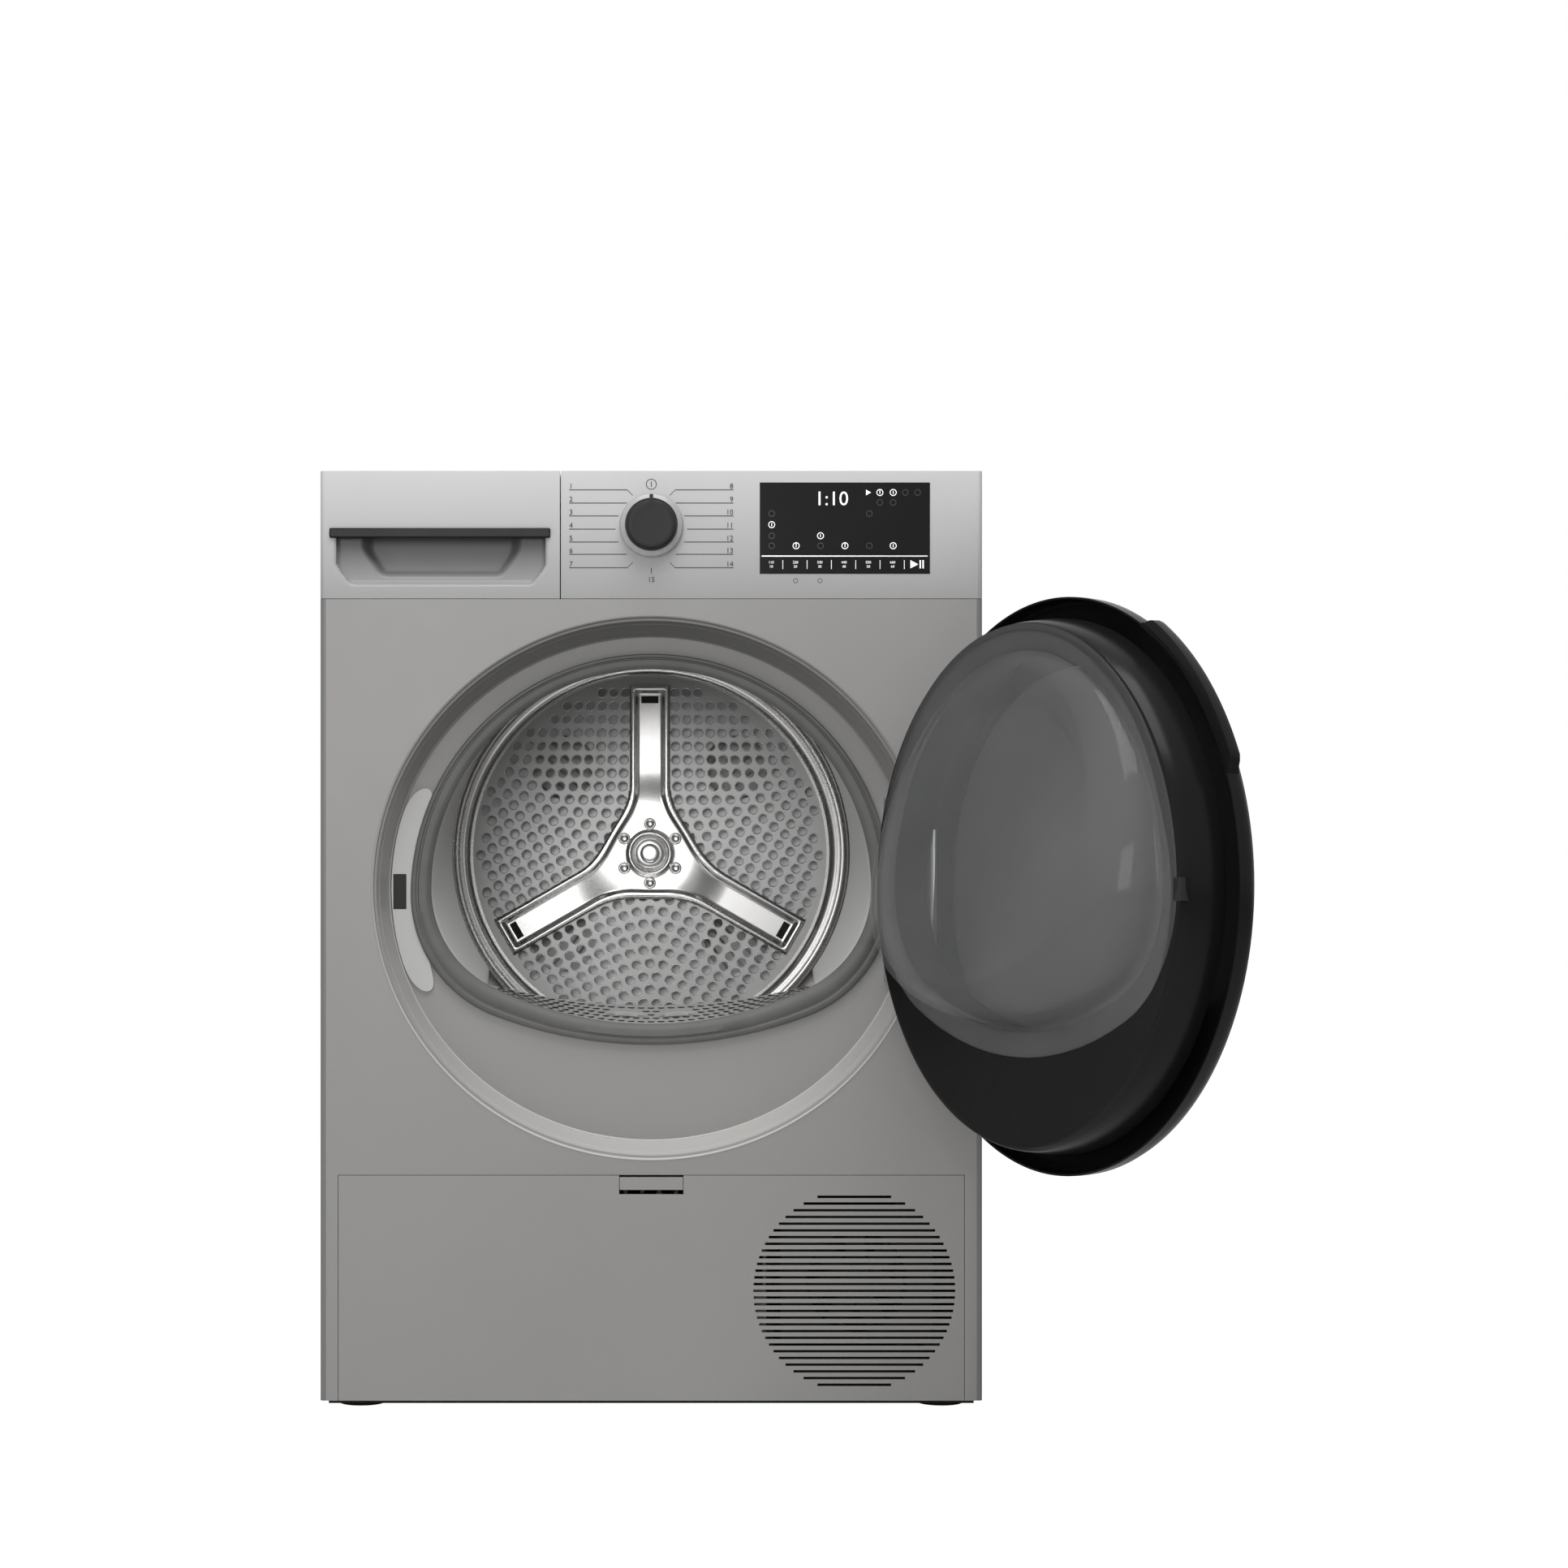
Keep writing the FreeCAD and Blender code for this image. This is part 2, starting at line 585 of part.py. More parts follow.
def control_fascia():
    """The moulded control panel with its display recess and knob hole."""
    front, rear = "-cab_d / 2", "-cab_d / 2 + fascia_d"
    x = ("split_x", "cab_w / 2")
    body = padded("fascia_block", rect(*x, front, rear), "fascia_h", z="cab_h - fascia_h", role="XY_Plane")
    corner_x, corner_y = size(x[1]), size(front)
    round_edges(body, body.Tip, "hem_r", lambda e: upright(e, corner_x, corner_y))
    z = ("cab_h - fascia_h", "cab_h")
    hollow = box("fascia_hollow", (x[0] + " + fascia_wall", x[1] + " - fascia_wall"),
                 (front + " + fascia_wall", rear + " + 1"), (z[0] + " + fascia_wall",
                                                             z[1] + " - fascia_wall"))
    seat = box("glass_seat", ("glass_x - glass_w / 2 - 0.3", "glass_x + glass_w / 2 + 0.3"),
               (front + " - 1", front + " + 1.5"), ("glass_z - glass_h / 2 - 0.3",
                                                    "glass_z + glass_h / 2 + 0.3"))
    window = box("glass_window", ("glass_x - glass_w / 2 + 3", "glass_x + glass_w / 2 - 3"),
                 (front, front + " + 5"), ("glass_z - glass_h / 2 + 3", "glass_z + glass_h / 2 - 3"))
    hole = rod("knob_hole", "y", ("knob_x", "knob_z"), "stem_r + 0.5", (front + " - 1", front + " + 5"))
    part(cut("control_fascia", body, hollow, seat, window, hole))
    glass = box("display_glass", ("glass_x - glass_w / 2", "glass_x + glass_w / 2"),
                (front + " - 0.4", front + " + 1.5"), ("glass_z - glass_h / 2", "glass_z + glass_h / 2"))
    part(glass)


def knob():
    """The programme knob: a skirt, a raised face and a stem through the fascia."""
    front = "-cab_d / 2 - run_gap"
    profile = [
        ("0", front + " - knob_t"), ("knob_face - 1.5", front + " - knob_t"), ("knob_face",
                                                                               front + " - knob_t + 1.5"),
        ("knob_face + 1.5", front + " - 9"), ("knob_r - 1", front + " - 8"), ("knob_r", front + " - 7"),
        ("knob_r", front), ("stem_r", front), ("stem_r", front + " + 12"), ("0", front + " + 12"),
    ]
    part(turned("knob", profile, z="knob_z", x="knob_x"))


# Water drawer


def drawer():
    """The drawer front with its scoop, the dark grip strip and the tank behind."""
    front, rear = "-cab_d / 2", "-cab_d / 2 + 24"
    x = ("-cab_w / 2", "split_x - 2 * seam")
    body = padded("drawer_block", rect(*x, front, rear), "fascia_h", z="cab_h - fascia_h", role="XY_Plane")
    corner_x, corner_y = size(x[0]), size(front)
    round_edges(body, body.Tip, "hem_r", lambda e: upright(e, corner_x, corner_y))
    left, right = "-286", "-93"
    shallow = padded("scoop_lip", [(left, "grip_z"), (left + " + 6", "cab_h - fascia_h + 21"),
                                   (left + " + 16", "cab_h - fascia_h + 11"), (right + " - 16",
                                                                               "cab_h - fascia_h + 11"),
                                   (right + " - 6", "cab_h - fascia_h + 21"),
                                   (right, "grip_z")], "7", y=front + " + 6")
    deep = padded("scoop_well", [(left + " + 12", "grip_z"), (left + " + 40", "cab_h - fascia_h + 26"),
                                 (left + " + 48", "cab_h - fascia_h + 21"), (right + " - 48",
                                                                             "cab_h - fascia_h + 21"),
                                 (right + " - 40", "cab_h - fascia_h + 26"), (right + " - 12", "grip_z")],
                  "scoop_d + 1", y=front + " + scoop_d")
    seat = box("grip_seat", ("-290", "-91"), (front + " - 1", front + " + 5"), ("grip_z", "grip_z + grip_t"))
    part(cut("drawer_front", body, shallow, deep, seat))
    part(box("drawer_grip", ("-290", "-91"), (front + " - 3", front + " + 5"), ("grip_z", "grip_z + grip_t")))
    tank_x, tank_y = ("-cab_w / 2 + 10", "split_x - 10.5"), (rear, "tank_end")
    block = box("tank_block", tank_x, tank_y, ("tank_low", "cab_h - lid_h - 2"))
    round_cut = rod("tank_round", "y", ("0", "drum_z"), "drum_r + 13", ("-400", "400"))
    shaped = cut("tank_shape", block, round_cut)
    inner_block = box("tank_inner", (tank_x[0] + " + tank_wall", tank_x[1] + " - tank_wall"),
                      (tank_y[0] + " + tank_wall", tank_y[1] + " - tank_wall"),
                      ("tank_low + tank_wall", "cab_h - lid_h - 2 - tank_wall"))
    inner_round = rod("tank_inner_round", "y", ("0", "drum_z"), "drum_r + 13 + tank_wall", ("-400", "400"))
    inlet = rod("tank_inlet", "z", ("-240", "100"), "14", ("cab_h - lid_h - 10", "cab_h"))
    part(cut("water_tank", shaped, cut("tank_space", inner_block, inner_round), inlet))
    # The guide wraps the tank from below and at its sides, clear of the drum.
    outer = cut("guide_outer", box("guide_box", (tank_x[0] + " - 2.5", tank_x[1] + " + 2.5"),
                                   (rear + " + 12", "tank_end + 4"), ("tank_low - 3", "cab_h - lid_h - 30")),
                rod("guide_round", "y", ("0", "drum_z"), "drum_r + 10", ("-400", "400")))
    inner = cut("guide_inner", box("guide_space", (tank_x[0] + " - slide_gap", tank_x[1] + " + slide_gap"),
                                   (rear, "tank_end + slide_gap"), ("tank_low - slide_gap", "cab_h")),
                rod("guide_inner_round", "y", ("0", "drum_z"), "drum_r + 13 - slide_gap", ("-400", "400")))
    part(cut("tank_guide", outer, inner))


# Mouth, funnel and filter


def door_seal():
    """The rubber ring on the recess floor round the mouth."""
    body = new_body("door_seal", y="-cab_d / 2 + recess_d", z="mouth_z")
    sketch = new_sketch(body)
    mouth_outline(sketch, "seal_w", "5")
    mouth_outline(sketch, "0")
    pad(body, sketch, "seal_t")
    part(body)


def funnel_and_filter():
    """The plastic funnel from the mouth to the drum, with the lint filter in its lower side."""
    front, end = "-cab_d / 2 + recess_d + skin", "funnel_end"
    outer = loft("funnel_outer", [mouth_sketch("funnel_mouth_0", front, "funnel_wall"),
                                  round_sketch("funnel_round_0", end, "funnel_r + funnel_wall", "funnel_z")])
    inner = loft("funnel_inner", [mouth_sketch("funnel_mouth_1", front, "0"),
                                  round_sketch("funnel_round_1", end, "funnel_r", "funnel_z")])
    gate = box("filter_gate", ("-filter_w / 2 - slide_gap", "filter_w / 2 + slide_gap"),
               (front + " - 1", end + " + 1"),
               ("250", "door_z - 60"))
    part(cut("loading_funnel", outer, inner, gate))
    # The filter's top rises towards the drum, and sags at its middle like the mouth.
    low = front + " + slide_gap"
    head = box("filter_head", ("-filter_w / 2", "filter_w / 2"), (low, low + " + cap_d"),
               ("332", "door_z - 88"))
    sweep = loft("filter_sweep", [rod_face("filter_arc_0", low + " - 0.01", "328", "346.2 + 328"),
                                  rod_face("filter_arc_1", low + " + cap_d + 0.01", "587", "362 + 587")])
    blade = box("filter_blade", ("-filter_w / 2", "filter_w / 2"),
                (low + " + 1.5", low + " + 1.5 + filter_t"),
                ("filter_low", "332"))
    pockets = [box(f"filter_pocket_{n}", (f"-filter_w / 2 + 8 + {n} * 71.5",
                                          f"-filter_w / 2 + 76 + {n} * 71.5"),
                   (low + " + 4", low + " + filter_t - 1"), ("filter_low + 8", "326")) for n in range(4)]
    grips = [box(f"filter_grip_{n}", (x, x + " + 22"), (low + " + 14", low + " + 19"), ("338", "400"))
             for n, x in enumerate(("-34", "12"))]
    part(cut("lint_filter", fuse("filter_body", cut("filter_cap", head, sweep), blade), *pockets, *grips))
    duct_x = ("-filter_w / 2 - 3", "filter_w / 2 + 3")
    duct = box("duct_outer", duct_x, (front, low + " + 2 + filter_t + 2"), ("filter_low - 8", "300"))
    space = box("duct_space", ("-filter_w / 2 - slide_gap", "filter_w / 2 + slide_gap"),
                (low + " + 1", low + " + 2 + filter_t"), ("filter_low - slide_gap", "301"))
    part(cut("filter_duct", duct, space))


def rod_face(name, y, radius, z):
    """An upright circle that faces the front."""
    obj = doc.addObject("Part::Circle", name)
    obj.setExpression("Radius", bound(radius))
    obj.Placement = FreeCAD.Placement(FreeCAD.Vector(), FreeCAD.Rotation(FreeCAD.Vector(1, 0, 0), 90))
    return place(obj, "0", y, z)


def front_bulkhead():
    """The inner front wall, with the collar that the drum neck turns on."""
    plate = box("bulk_plate", ("-cab_w / 2 + skin + 0.5", "cab_w / 2 - skin - 0.5"), ("bulk_y", "bulk_y + 2"),
                ("kick_top + 4", "cab_h - fascia_h - 30"))
    collar_out = "neck_r - run_gap - felt_t"
    bore = rod("bulk_bore", "y", ("0", "drum_z"), collar_out + " - collar_wall",
               ("bulk_y - 10", "bulk_y + 40"))
    collar = rod("bulk_collar", "y", ("0", "drum_z"), collar_out, ("bulk_y + 2", "drum_front + 14"))
    guide_gap = box("bulk_gap", ("-cab_w / 2", "split_x - 5"), ("bulk_y - 5", "bulk_y + 5"),
                    ("tank_low - 4", "cab_h"))
    part(cut("front_bulkhead", fuse("bulk_solid", plate, collar), bore, guide_gap))
    part(tube("drum_felt", "y", ("0", "drum_z"), (collar_out, "neck_r - run_gap"),
              ("drum_front + 2", "drum_front + 14")))
    strips = [box(f"strip_{n}", (x, x + " + 40"), ("bulk_y - 2.5", "bulk_y"), ("270", "276")) for n,
              x in enumerate(("165", "215"))]
    part(group("moisture_strips", strips))


# Drum


def drum():
    """The drum: shell, pressed back wall, star, shaft and lifters."""
    outer = "drum_r + drum_wall"
    shell = [
        ("neck_r", "drum_front"), ("neck_r", "drum_front + 16"), ("drum_r", "drum_front + 34"),
        ("drum_r", "drum_back_y"), (outer, "drum_back_y"), (outer, "drum_front + 33"),
        ("neck_r + drum_wall", "drum_front + 15"), ("neck_r + drum_wall", "drum_front"),
    ]
    part(turned("drum_shell", shell))
    back = [("shaft_r + shaft_gap", "drum_back_y"), ("190", "drum_back_y")]
    back += [("193", "drum_back_y - 5"), ("196", "drum_back_y - 5"), ("199", "drum_back_y")]
    back += [("203", "drum_back_y"), ("206", "drum_back_y - 5"), ("209", "drum_back_y - 5"),
             ("212", "drum_back_y")]
    back += [("drum_r + drum_wall", "drum_back_y"), ("drum_r + drum_wall", "drum_back_y + 2"),
             ("shaft_r + shaft_gap", "drum_back_y + 2")]
    part(turned("drum_back", back))
    lifters = []
    for n in range(LIFTERS):
        body = new_body(f"lifter_{n}", y="drum_back_y - 10", z="drum_z")
        sketch = new_sketch(body)
        base = "-sqrt(drum_r ^ 2 - 34 ^ 2) + 0.3"
        polygon(sketch, [("-34", base), ("34", base), ("12", "-drum_r + lifter_h"),
                         ("-12", "-drum_r + lifter_h")])
        pad(body, sketch, "300")
        body.Placement.Rotation = FreeCAD.Rotation(FreeCAD.Vector(0, 1, 0), 60 + 360 / LIFTERS * n)
        lifters.append(body)
    part(group("drum_lifters", lifters))


def drum_star():
    """The three-armed bracket on the drum's back wall, and the shaft that it carries."""
    body = new_body("drum_star", y="drum_back_y", z="drum_z")
    sketch = new_sketch(body)
    polygon(sketch, [("-star_w / 2", "0"), ("star_w / 2", "0"), ("star_w / 2", "star_reach - 8"),
                     ("star_w / 2 - 8", "star_reach"), ("-star_w / 2 + 8", "star_reach"), ("-star_w / 2",
                                                                                           "star_reach - 8")])
    arm = pad(body, sketch, "star_t")
    around(body, [arm], STAR_ARMS)
    hub = new_sketch(body)
    circle(hub, "0", "0", "hub_r")
    pad(body, hub, "star_t")
    channel = new_sketch(body)
    polygon(channel, rect("-star_groove / 2", "star_groove / 2", "hub_r + 6", "star_reach - 12"))
    groove = pocket(body, channel, "star_t + 1")
    around(body, [groove], STAR_ARMS)
    bore = new_sketch(body)
    circle(bore, "0", "0", "shaft_r + 1")
    pocket(body, bore, "star_t + 1")
    part(body)
    shaft = [("0", "drum_back_y - 16"), ("9", "drum_back_y - 16"), ("10.5", "drum_back_y - 14.5"),
             ("10.5", "drum_back_y - 1"), ("shaft_r", "drum_back_y - 1"), ("shaft_r", "wall_y + 26"),
             ("0", "wall_y + 26")]
    part(turned("drum_shaft", shaft))


def drum_support():
    """The rear bulkhead, the bearing housing, its bush and the air duct behind."""
    plate = box("wall_plate", ("-cab_w / 2 + skin + 0.5", "cab_w / 2 - skin - 0.5"), ("wall_y", "wall_y + 2"),
                ("tray_h + 4", "cab_h - lid_h - 1"))
    hole = rod("wall_hole", "y", ("0", "drum_z"), "bush_r + 6", ("wall_y - 5", "wall_y + 5"))
    vents = [rod(f"wall_vent_{n}", "y", (f"130 * cos({45 + 90 * n})", f"drum_z + 130 * sin({45 + 90 * n})"),
                 "34",
                 ("wall_y - 5", "wall_y + 5")) for n in range(4)]
    motor_hole = rod("wall_motor_hole", "y", ("motor_x", "motor_z"), "24", ("wall_y - 5", "wall_y + 5"))
    part(cut("rear_bulkhead", plate, hole, motor_hole, *vents))
    part(turned("bearing_housing", [("bush_r", "wall_y - 6"), ("bush_r + 6", "wall_y - 6"),
                                    ("bush_r + 6", "wall_y + 2"),
                                    ("bush_r + 26", "wall_y + 2"), ("bush_r + 26", "wall_y + 6"),
                                    ("bush_r + 6", "wall_y + 12"), ("bush_r + 6", "wall_y + 24"),
                                    ("bush_r", "wall_y + 24")]))
    part(tube("drum_bush", "y", ("0", "drum_z"), ("shaft_r + shaft_gap", "bush_r"),
              ("wall_y - 6", "wall_y + 24")))
    part(turned("rear_air_duct", [("bush_r + 28", "wall_y + 2"), ("bush_r + 31", "wall_y + 2"),
                                  ("bush_r + 31", "wall_y + 40"),
                                  ("215", "wall_y + 40"), ("222", "wall_y + 2"), ("225", "wall_y + 2"),
                                  ("218", "wall_y + 43"), ("bush_r + 28", "wall_y + 43")]))


def belt_path(reach, pulley):
    """The closed wire round the drum and the motor pulley, at the given radii."""
    drum_at = FreeCAD.Vector(0, 0, size("drum_z"))
    motor_at = FreeCAD.Vector(size("motor_x"), 0, size("motor_z"))
    along = motor_at - drum_at
    gap = along.Length
    along.normalize()
    across = FreeCAD.Vector(-along.z, 0, along.x)
    lean = (reach - pulley) / gap
    normals = [along * lean + across * (side * math.sqrt(1 - lean * lean)) for side in (1, -1)]
    tips = [(drum_at + n * reach, motor_at + n * pulley) for n in normals]
    edges = [
        Part.LineSegment(tips[0][0], tips[0][1]).toShape(),
        Part.Arc(tips[0][1], motor_at + along * pulley, tips[1][1]).toShape(),
        Part.LineSegment(tips[1][1], tips[1][0]).toShape(),
        Part.Arc(tips[1][0], drum_at - along * reach, tips[0][0]).toShape(),
    ]
    return Part.Face(Part.Wire(edges))


def drive():
    """The motor with its pulley, the belt round the drum, and the blower."""
    inner_gap, thick = size("run_gap + 0.1"), size("belt_t")
    reach, pulley = size("drum_r + drum_wall") + inner_gap, size("pulley_r") + inner_gap
    band = belt_path(reach + thick, pulley + thick).cut(belt_path(reach, pulley))
    belt = doc.addObject("Part::Feature", "drive_belt")
    belt.Shape = band.extrude(FreeCAD.Vector(0, size("belt_w"), 0))
    place(belt, "0", "belt_y - belt_w / 2", "0")
    part(belt)
    at = ("motor_x", "motor_z")
    case = rod("case_round", "y", at, "motor_r", ("-20", "120"))
    bore = rod("case_bore", "y", at, "8 + shaft_gap", ("-30", "130"))
    space = rod("case_space", "y", at, "motor_r - 4", ("-14", "114"))
    part(cut("motor_case", case, bore, space))
    shaft = rod("rotor_shaft", "y", at, "8", ("-75", "wall_y + 40"))
    core = rod("rotor_core", "y", at, "motor_r - 14", ("0", "100"))
    pulley_rim = rod("rotor_pulley", "y", at, "pulley_r", ("belt_y - 8", "belt_y + 8"))
    part(fuse("motor_rotor", shaft, core, pulley_rim))
    fan_hub = rod("wheel_disc", "y", at, "46", ("wall_y + 12", "wall_y + 15"))
    blades = []
    for n in range(2 * BLADES):
        blade = box(f"wheel_blade_{n}", ("0", "2"), ("0", "24"), ("0", "14"))
        turn = 360 / (2 * BLADES) * n
        blade.Placement.Rotation = FreeCAD.Rotation(FreeCAD.Vector(0, 1, 0), turn)
        place(blade, f"motor_x + 31 * sin({turn})", "wall_y + 15", f"motor_z + 31 * cos({turn})")
        blades.append(blade)
    wheel = fuse("wheel_solid", fan_hub, *blades)
    part(cut("blower_wheel", wheel, rod("wheel_bore", "y", at, "8 + shaft_gap", ("wall_y", "wall_y + 50"))))
    housing = rod("blower_round", "y", at, "56", ("wall_y + 2", "wall_y + 50"))
    chamber = rod("blower_space", "y", at, "53", ("wall_y + 5", "wall_y + 47"))
    inlet = rod("blower_inlet", "y", at, "24", ("wall_y", "wall_y + 8"))
    part(cut("blower_housing", housing, chamber, inlet))


# Heat pump in the base


def heat_pump():
    """Case, cover with two levers, evaporator, condenser, compressor, pipes, fan and pump."""
    low, high = "3 + tray_wall", "200"
    case_x, span_y = ("-165", "105"), ("case_y", "case_end")
    outer = box("pump_case_outer", case_x, span_y, (low, high))
    inner = box("pump_case_inner", ("-162", "102"), ("case_y - 1", "case_end - 3"),
                (low + " + 3", high + " - 3"))
    inlet = box("pump_case_inlet", ("-140", "80"), ("case_y + 12", "case_y + 62"), ("150", "210"))
    part(cut("heat_pump_case", outer, inner, inlet))
    cover = box("cover_plate", case_x, ("case_y - 4", "case_y - 0.3"), (low, "104"))
    part(cut("heat_pump_cover", cover, box("cover_dent", ("-60", "0"), ("case_y - 6", "case_y - 2"),
                                           ("50", "75"))))
    for n, (name, x) in enumerate((("cover_lever_left", "-150"), ("cover_lever_right", "90"))):
        bar = box(f"lever_bar_{n}", (x + " - 5", x + " + 5"), ("case_y - 9", "case_y - 4.3"), ("50", "92"))
        part(fuse(name, bar, rod(f"lever_boss_{n}", "y", (x, "50"), "8", ("case_y - 11", "case_y - 4.3"))))
    for name, span in (("evaporator", ("case_y + 82", "case_y + 172")),
                       ("condenser", ("case_y + 192", "case_y + 322"))):
        block = box(name + "_block", ("-158", "98"), span, (low + " + 3.2", high + " - 3.2"))
        fins = [box(f"{name}_gap_{n}", (f"-150 + {n} * 16", f"-138 + {n} * 16"),
                    (span[0] + " - 1", span[1] + " + 1"),
                    (low + " + 9", high + " - 9")) for n in range(15)]
        part(cut(name, block, *fins))
    body = rod("compressor_can", "z", ("187", "60"), "62", (low, "180"))
    cap = taper("compressor_cap", "z", ("187", "60"), ("62", "30"), ("180", "205"))
    part(fuse("compressor", body, cap))
    pipes = [pipe(f"pipe_{n}", z) for n, z in enumerate(("150", "120"))]
    part(group("refrigerant_pipes", pipes))
    fan = ("fan_x", "fan_z")
    ring = box("shroud_plate", ("118", "257"), ("case_y - 6", "case_y - 2"), ("tray_h + 4", "178"))
    hole = rod("shroud_hole", "y", fan, "fan_r", ("case_y - 8", "case_y + 12"))
    collar = tube("shroud_ring", "y", fan, ("fan_r", "fan_r + 3"), ("case_y - 2", "case_y + 37"))
    part(fuse("fan_shroud", cut("shroud_front", ring, hole), collar))
    hub = rod("fan_hub", "y", fan, "14", ("case_y + 4", "case_y + 30"))
    blades = []
    for n in range(BLADES):
        turn = math.radians(360 / BLADES * n)
        blade = box(f"fan_blade_{n}", ("0", "18"), ("0", "3"), ("0", "fan_r - 14"))
        blade.Placement.Rotation = FreeCAD.Rotation(FreeCAD.Vector(0, 1, 0), 360 / BLADES * n)
        place(blade, f"fan_x + 12 * {math.sin(turn):.6f} - 9 * {math.cos(turn):.6f}", "case_y + 12",
              f"fan_z + 12 * {math.cos(turn):.6f} + 9 * {math.sin(turn):.6f}")
        blades.append(blade)
    part(fuse("cooling_fan", hub, *blades))
    pump = rod("pump_round", "z", ("-235", "rear_y - 68.5"), "28", ("3 + tray_wall", "70"))
    part(fuse("drain_pump", pump, rod("pump_motor", "z", ("-235", "rear_y - 68.5"), "18", ("70", "110"))))
    spigot = tube("spigot_tube", "y", ("-240", "95"), ("5", "8"), ("cab_d / 2 - 12", "cab_d / 2 + 22"))
    flange = tube("spigot_flange", "y", ("-240", "95"), ("5", "16"), ("cab_d / 2 - skin", "cab_d / 2 + 2"))
    part(fuse("drain_spigot", spigot, flange))
    gland = tube("gland_tube", "y", ("255", "760"), ("4.5", "9"), ("cab_d / 2 - 10", "cab_d / 2 + 10"))
    part(fuse("cord_gland", gland, tube("gland_flange", "y", ("255", "760"), ("4.5", "16"),
                                        ("cab_d / 2 - skin", "cab_d / 2 + 3"))))


def pipe(name, z):
    """A run of copper pipe from the heat exchangers to the compressor."""
    return rod(name, "x", ("60", z), "5", ("105.3", "124.7"))


# Door fittings on the cabinet


def lock_and_hinge():
    """The lock plate, the lock behind it, and the hinge bracket with its pin."""
    floor = "-cab_d / 2 + recess_d"
    plate = common("plate_raw", oval_rod("plate_oval", "floor_a - 2", "floor_b - 2", (floor + " - 3", floor)),
                   box("plate_limit", ("-floor_a", "-198"), (floor + " - 4", floor + " + 1"),
                       ("door_z - 95", "door_z + 92")))
    clear = rod("plate_clear", "y", ("0", "mouth_z - 5"), "mouth_r + seal_w + 2.5",
                (floor + " - 5", floor + " + 1"))
    slot = box("plate_slot", ("-235", "-223"), (floor + " - 5", floor + " + 1"),
               ("door_z - 18.5", "door_z + 12.5"))
    part(cut("lock_plate", plate, clear, slot))
    lock = box("lock_box", ("-246", "-212"), (floor + " + skin", floor + " + 22"),
               ("door_z - 40", "door_z + 34"))
    part(cut("door_lock", lock, box("lock_throat", ("-236", "-222"), (floor, floor + " + 16"),
                                    ("door_z - 19", "door_z + 13"))))
    solids = []
    for n, (low, high) in enumerate((("hinge_top - lug_top", "hinge_top"),
                                     ("hinge_low", "hinge_low + lug_low"))):
        bar = padded(f"lug_{n}", [("hinge_x - lug_t / 2 - 1", "hinge_y"),
                                  ("hinge_x + lug_t / 2 - 1", "hinge_y + 4"),
                                  ("hinge_x - 12", floor), ("hinge_x - 12 - lug_t", floor)],
                     f"({high}) - ({low})", z=low, role="XY_Plane")
        solids.append(bar)
        solids.append(rod(f"lug_eye_{n}", "z", ("hinge_x", "hinge_y"), "knuckle_r - 1.5", (low, high)))
    pin = rod("bracket_pin", "z", ("hinge_x", "hinge_y"), "pin_r", ("hinge_low", "hinge_top"))
    part(fuse("hinge_bracket", *solids, pin))


# Door, drawn shut and then swung open


def hinge_room(name):
    """What the hinge needs free inside the door: the arm's pocket and the sweep of both lugs."""
    arm = box(name + "_arm", ("hinge_x - 44", "hinge_x + 40"),
              ("hinge_y - knuckle_r - 1", "hinge_y + knuckle_r + 1"),
              ("hinge_low + lug_low - 1", "hinge_top - lug_top + 1"))
    rooms = [arm]
    lugs = (("hinge_top - lug_top", "hinge_top"), ("hinge_low", "hinge_low + lug_low"))
    for n, (low, high) in enumerate(lugs):
        z = (f"{low} - lug_gap", f"{high} + lug_gap")
        rooms.append(box(f"{name}_lug_{n}", ("hinge_x - 36", "hinge_x + 40"),
                         ("hinge_y - 16", "hinge_y + 60"), z))
    return rooms


